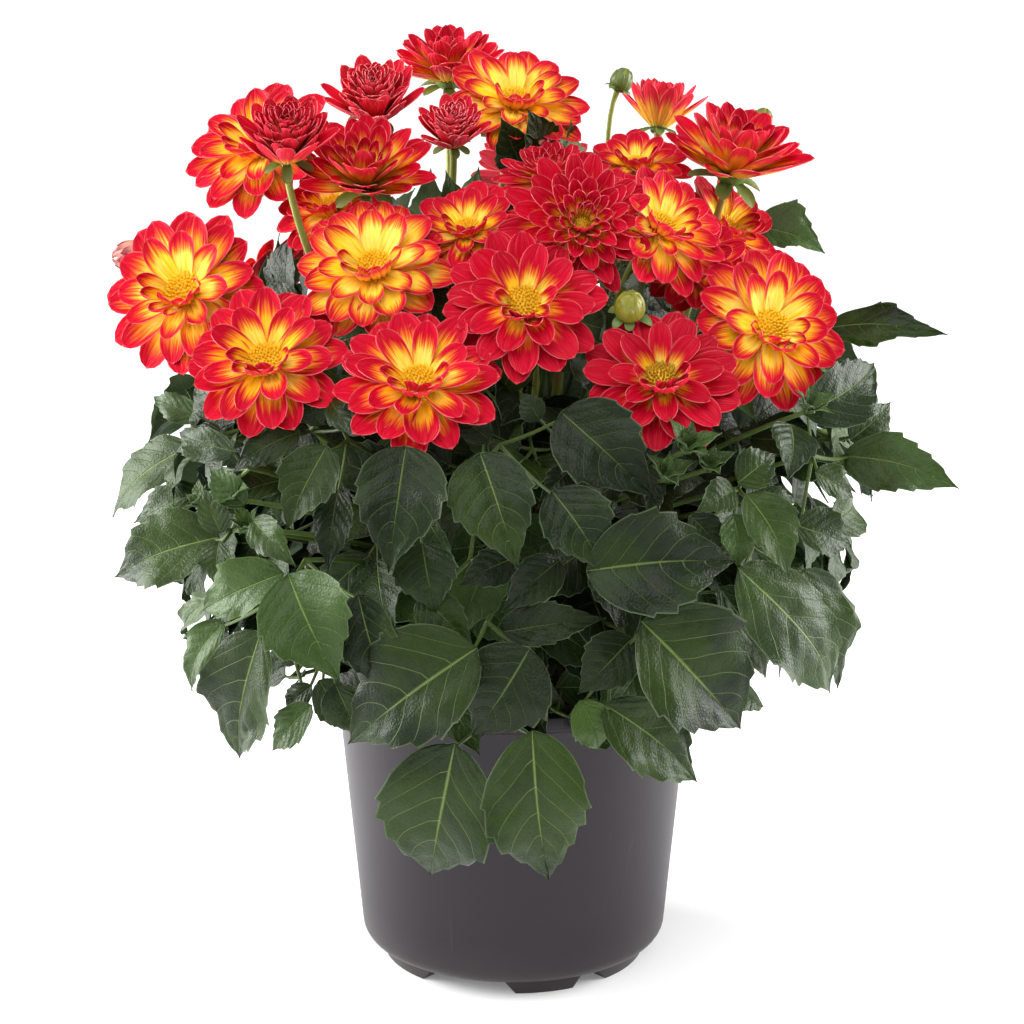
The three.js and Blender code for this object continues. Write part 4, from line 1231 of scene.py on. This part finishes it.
streak = streaked(5, 0.8)
vein = streaked(16, 1.2)
blotch = petal_finish.noise(90, 3)
redness = along + edge * edge * edge * 0.36 + (streak - 0.5) * 0.58 + (vein - 0.5) * 0.26 - gold
redness = redness + (blotch - 0.5) * 0.15
red = redness.mask(-0.13, 0.18)
pale = redness.mask(-0.8, -0.35) * (streak + luck * 0.25).mask(0.45, 0.75)
golden = (pale * 0.85).blend((1, 0.6, 0.008), (1, 0.82, 0.16))
golden = redness.mask(-0.2, 0.04).blend(golden, (0.95, 0.26, 0.02))
depth = streak * 0.4 + vein * 0.4 + luck * 0.3 - 0.05
crimson = depth.blend((0.33, 0, 0.012), (0.72, 0.003, 0.03))
skin = red.blend(golden, crimson)
# Painted light: half-open cup heads have their crimson, their pale rims and their undersides lightened
# against the shade inside their domes.
half_open_lightening = gold.mask(0.38, 0.3)
skin = (half_open_lightening * 0.4).blend(skin, (0.85, 0.02, 0.05))
# The pale rim and tip are partly the petal's own pale edge and partly a painted highlight.
rim = edge.mask(0.9, 1) * along.mask(0.2, 0.5)
tip = along.mask(0.95, 1)
faded = redness.mask(0.15, 0.6) * vein.mask(0.5, 0.72)
rim_pale_and_highlight = streak * 0.44 + half_open_lightening * 0.45
skin = ((rim + tip) * rim_pale_and_highlight + faded * 0.14).blend(skin, (1, 0.43, 0.38))
skin = dark.blend(skin, (0.12, 0, 0.006))
back_skin = red.blend((1, 0.42, 0.03), (0.82, 0.006, 0.035))
back_skin = (along.mask(0.25, 0) * 0.7).blend(back_skin, (0.55, 0.5, 0.06))
back_skin = (half_open_lightening * 0.5).blend(back_skin, (1, 0.08, 0.13))
# Painted light: the underside's pale rim is stronger than the upper side's, lightening petals that face away
# into shade.
back_skin = (rim * (rim_pale_and_highlight + 0.25) + vein * 0.1).blend(back_skin, (1, 0.45, 0.48))
ridges = (across * 15).math("SINE")
petal_finish.shade(
    {
        "Base Color": under.blend(skin, back_skin),
        "Roughness": streak * 0.2 + 0.42,
        "Normal": petal_finish.bump(ridges * 0.3 + streak * 0.6 + vein * 0.5, 0.35 * MM),
    }
)
for index, head in enumerate(heads):
    if head.kind != "bud":
        shape = bloom_shape(head, random.Random(100 + index))
        finished(f"{head.name}_petals", shape, petal_finish, [head.name], 70)


# The button in the middle of each open bloom is a low dome packed with tiny tubular florets in a spiral,
# yellow where they're open round the edge and greener in the middle where they're still shut.
FLORETS = 130
# How wide the button of each kind is, how high they all are and how deep they sit, in head radii.
DISC_SIZES = {"open": 0.28, "double": 0.12, "bowl": 0.16}
DISC_HEIGHT, DISC_SINK = 0.12, 0.1
# How much darker the florets of a double bloom are.
DOUBLE_SHADE = 0.25
GOLDEN_TURN = math.pi * (3 - math.sqrt(5))

disc_shape = bmesh.new()
chance = random.Random(3)
for head in heads:
    if head.kind not in DISC_SIZES:
        continue
    wide = DISC_SIZES[head.kind]
    shadow = head.dark + (DOUBLE_SHADE if head.kind == "double" else 0)
    one_disc = bmesh.new()
    disc_layer = one_disc.verts.layers.float_vector.new("tint")
    dome = Matrix.LocRotScale(head.point, head.axis.to_track_quat("Z", "Y"), Vector((head.radius,) * 3))
    button = dome @ Matrix.LocRotScale(Vector((0, 0, -DISC_SINK)), None, Vector((wide, wide, DISC_HEIGHT)))
    ball = bmesh.ops.create_uvsphere(one_disc, u_segments=20, v_segments=10, radius=1, matrix=button)
    for vert in ball["verts"]:
        vert[disc_layer] = (0.5, 0.5, 0)
    florets = round(FLORETS * wide / DISC_SIZES["open"])
    for index in range(florets):
        share = math.sqrt((index + 0.5) / florets)
        turn = index * GOLDEN_TURN
        slope = Vector((math.cos(turn) * share, math.sin(turn) * share, math.sqrt(1.04 - share**2)))
        spot = Vector((slope.x * wide, slope.y * wide, slope.z * DISC_HEIGHT - DISC_SINK))
        way = Vector((slope.x * 0.9, slope.y * 0.9, slope.z * 1.2 + 0.2)).normalized()
        way = (way + Vector((chance.uniform(-0.2, 0.2), chance.uniform(-0.2, 0.2), 0))).normalized()
        seat = Matrix.LocRotScale(spot + way * 0.02, way.to_track_quat("Z", "Y"), None)
        bead = wide * (0.06 + 0.024 * share) * chance.uniform(0.85, 1.15)
        seat = seat @ Matrix.Diagonal((bead, bead, bead * 1.6, 1))
        luck = chance.random()
        floret = bmesh.ops.create_icosphere(one_disc, subdivisions=1, radius=1, matrix=dome @ seat)
        for vert in floret["verts"]:
            vert[disc_layer] = (luck, share, shadow)
    added(disc_shape, one_disc)
disc_finish = Finish("floret_skin", {"Specular IOR Level": 0.3})
luck, share, shadow = disc_finish.attribute("tint")
pollen = disc_finish.noise(1400, 2)
young = share.blend((0.8, 0.55, 0.02), (1, 0.66, 0.02))
young = (luck * 0.35 + pollen * 0.15).blend(young, (0.9, 0.4, 0.01))
disc_finish.shade(
    {
        "Base Color": (shadow * 3).blend(young, (0.24, 0.11, 0.012)),
        "Roughness": pollen * 0.3 + 0.5,
        "Normal": disc_finish.bump(pollen, 0.2 * MM),
    }
)
finished("bloom_discs", disc_shape, disc_finish)


# Under each head a green cup of fleshy scales joins the petals to the stem, and narrow leafy bracts turn
# back below it. They grew with the head, and stay soft and a little glossy.
BRACTS, BRACT_CELLS = 6, (4, 6)
# A cup is its width and its height over the seat at each step, in head radii. A bract is its length and
# half width in head radii, then its pitch and curl.
BLOOM_CUP = [(0.05, 0), (0.13, 0.03), (0.2, 0.1), (0.24, 0.22), (0.12, 0.3)]
BLOOM_BRACT = (0.44, 0.12, math.radians(-4), math.radians(-34))
BUD_CUP = [(0.18, 0), (0.5, 0.08), (0.8, 0.4), (0.5, 0.6)]
BUD_BRACT = (1.5, 0.34, 0.5, -1.4)

calyx_shape = bmesh.new()
chance = random.Random(8)
for head in heads:
    one_calyx = marked_shape()
    seat = SEATS[head.kind]
    cup, bract = (BUD_CUP, BUD_BRACT) if head.kind == "bud" else (BLOOM_CUP, BLOOM_BRACT)
    places = [head.point + head.axis * head.radius * (height - seat) for wide, height in cup]
    swept(one_calyx, places, [head.radius * wide for wide, height in cup], 16, (0, 0.3, 0.5))
    length, half, pitch, curl = bract
    for index in range(BRACTS):
        turn = math.tau * index / BRACTS + chance.uniform(-0.2, 0.2)
        form = (0.1, 0.08 - seat, length * chance.uniform(0.8, 1.2), half, pitch, curl, 0.7)
        petal(one_calyx, head, turn, form, chance, BRACT_CELLS)
    bmesh.ops.recalc_face_normals(one_calyx, faces=one_calyx.faces[:])
    added(calyx_shape, one_calyx)
calyx_finish = Finish("calyx_skin", {"Specular IOR Level": 0.45})
along = calyx_finish.attribute("place")[1]
blush = calyx_finish.noise(120, 3)
leafy = blush.blend((0.05, 0.11, 0.02), (0.16, 0.24, 0.05))
calyx_finish.shade(
    {
        "Base Color": (along.mask(0.6, 1) * 0.4).blend(leafy, (0.24, 0.2, 0.05)),
        "Roughness": blush * 0.2 + 0.4,
        "Normal": calyx_finish.bump(blush, 0.3 * MM),
    }
)
finished("bloom_calyxes", calyx_shape, calyx_finish)


# The buds are tight, a hard round core wrapped in overlapping scales. The youngest are green, and the
# ones about to open show the tips of folded red petals between dry pinkish-brown scales.
SCALE_THICKNESS = 0.25 * MM
# A whorl is its number of scales, where they start and end as shares of the way from stem to tip, the
# angle that a scale spans to each side, and how far it stands off, as a share of the bud's radius.
BUD_WHORLS = [(5, 0.05, 0.7, 0.66, 0.05), (5, 0.07, 0.86, 0.64, 0.025), (4, 0.3, 0.99, 0.8, 0)]
CORE_SIZE = Vector((0.88, 0.88, 1))


def bud_scale(shape, head, turn, foot, top, span, lift, chance):
    """A scale that hugs the bud's egg shape from foot to top."""
    place_mark, tint_mark = marks(shape)
    beside = head.axis.orthogonal().normalized()
    luck = chance.random()
    made = bmesh.ops.create_grid(shape, x_segments=8, y_segments=10, size=1)["verts"]
    for vert in made:
        u, v = vert.co.x, (vert.co.y + 1) / 2
        polar = math.pi * (foot + (top - foot) * v)
        outwards = Quaternion(head.axis, turn + u * span * (1 - v**2.5) ** 0.6) @ beside
        swell = 1 + lift + 0.05 * v * (1 - u * u) - 0.03 * u * u
        egg = math.sin(polar) ** 0.9 * (1 - 0.12 * math.cos(polar + math.pi))
        offset = outwards * egg * 0.92 - head.axis * math.cos(polar) * 1.04
        vert.co = head.point + head.radius * swell * offset
        vert[place_mark] = (u, v, luck)
        vert[tint_mark] = (head.gold, head.dark, 0)
    bmesh.ops.remove_doubles(shape, verts=made, dist=MERGE_DISTANCE)


bud_finish = Finish("bud_skin", {"Specular IOR Level": 0.5})
across, along = bud_finish.attribute("place")[:2]
ripe, dark = bud_finish.attribute("tint")[:2]
mottle = bud_finish.noise(240, 4)
fresh = mottle.blend((0.13, 0.16, 0.008), (0.27, 0.26, 0.015))
fresh = ((across * across).mask(0.8, 1) * 0.5).blend(fresh, (0.09, 0.06, 0.01))
fresh = dark.blend(fresh, (0.035, 0.085, 0.012))
dry = mottle.blend((0.5, 0.16, 0.12), (0.75, 0.42, 0.3))
dry = along.mask(0.55, 0.85).blend(dry, (0.22, 0.01, 0.015))
ribs = (across * 14).math("SINE")
bud_finish.shade(
    {
        "Base Color": ripe.blend(fresh, dry),
        "Roughness": mottle * 0.2 + 0.3,
        "Normal": bud_finish.bump(ribs * 0.15 + mottle, 0.2 * MM),
    }
)
for index, head in enumerate(heads):
    if head.kind != "bud":
        continue
    shape = marked_shape()
    chance = random.Random(200 + index)
    for whorl, (count, *form) in enumerate(BUD_WHORLS):
        for scale in range(count):
            bud_scale(shape, head, math.tau * (scale + whorl / 2) / count, *form, chance)
    thickened(shape, SCALE_THICKNESS)
    core = Matrix.LocRotScale(head.point, head.axis.to_track_quat("Z", "Y"), CORE_SIZE * head.radius)
    ball = bmesh.ops.create_uvsphere(shape, u_segments=24, v_segments=16, radius=1, matrix=core)
    marked(shape, ball["verts"], (0.3, 0.6, 0.5), (head.gold, 0, 0))
    finished(f"{head.name}_scales", shape, bud_finish, [head.name], 70)
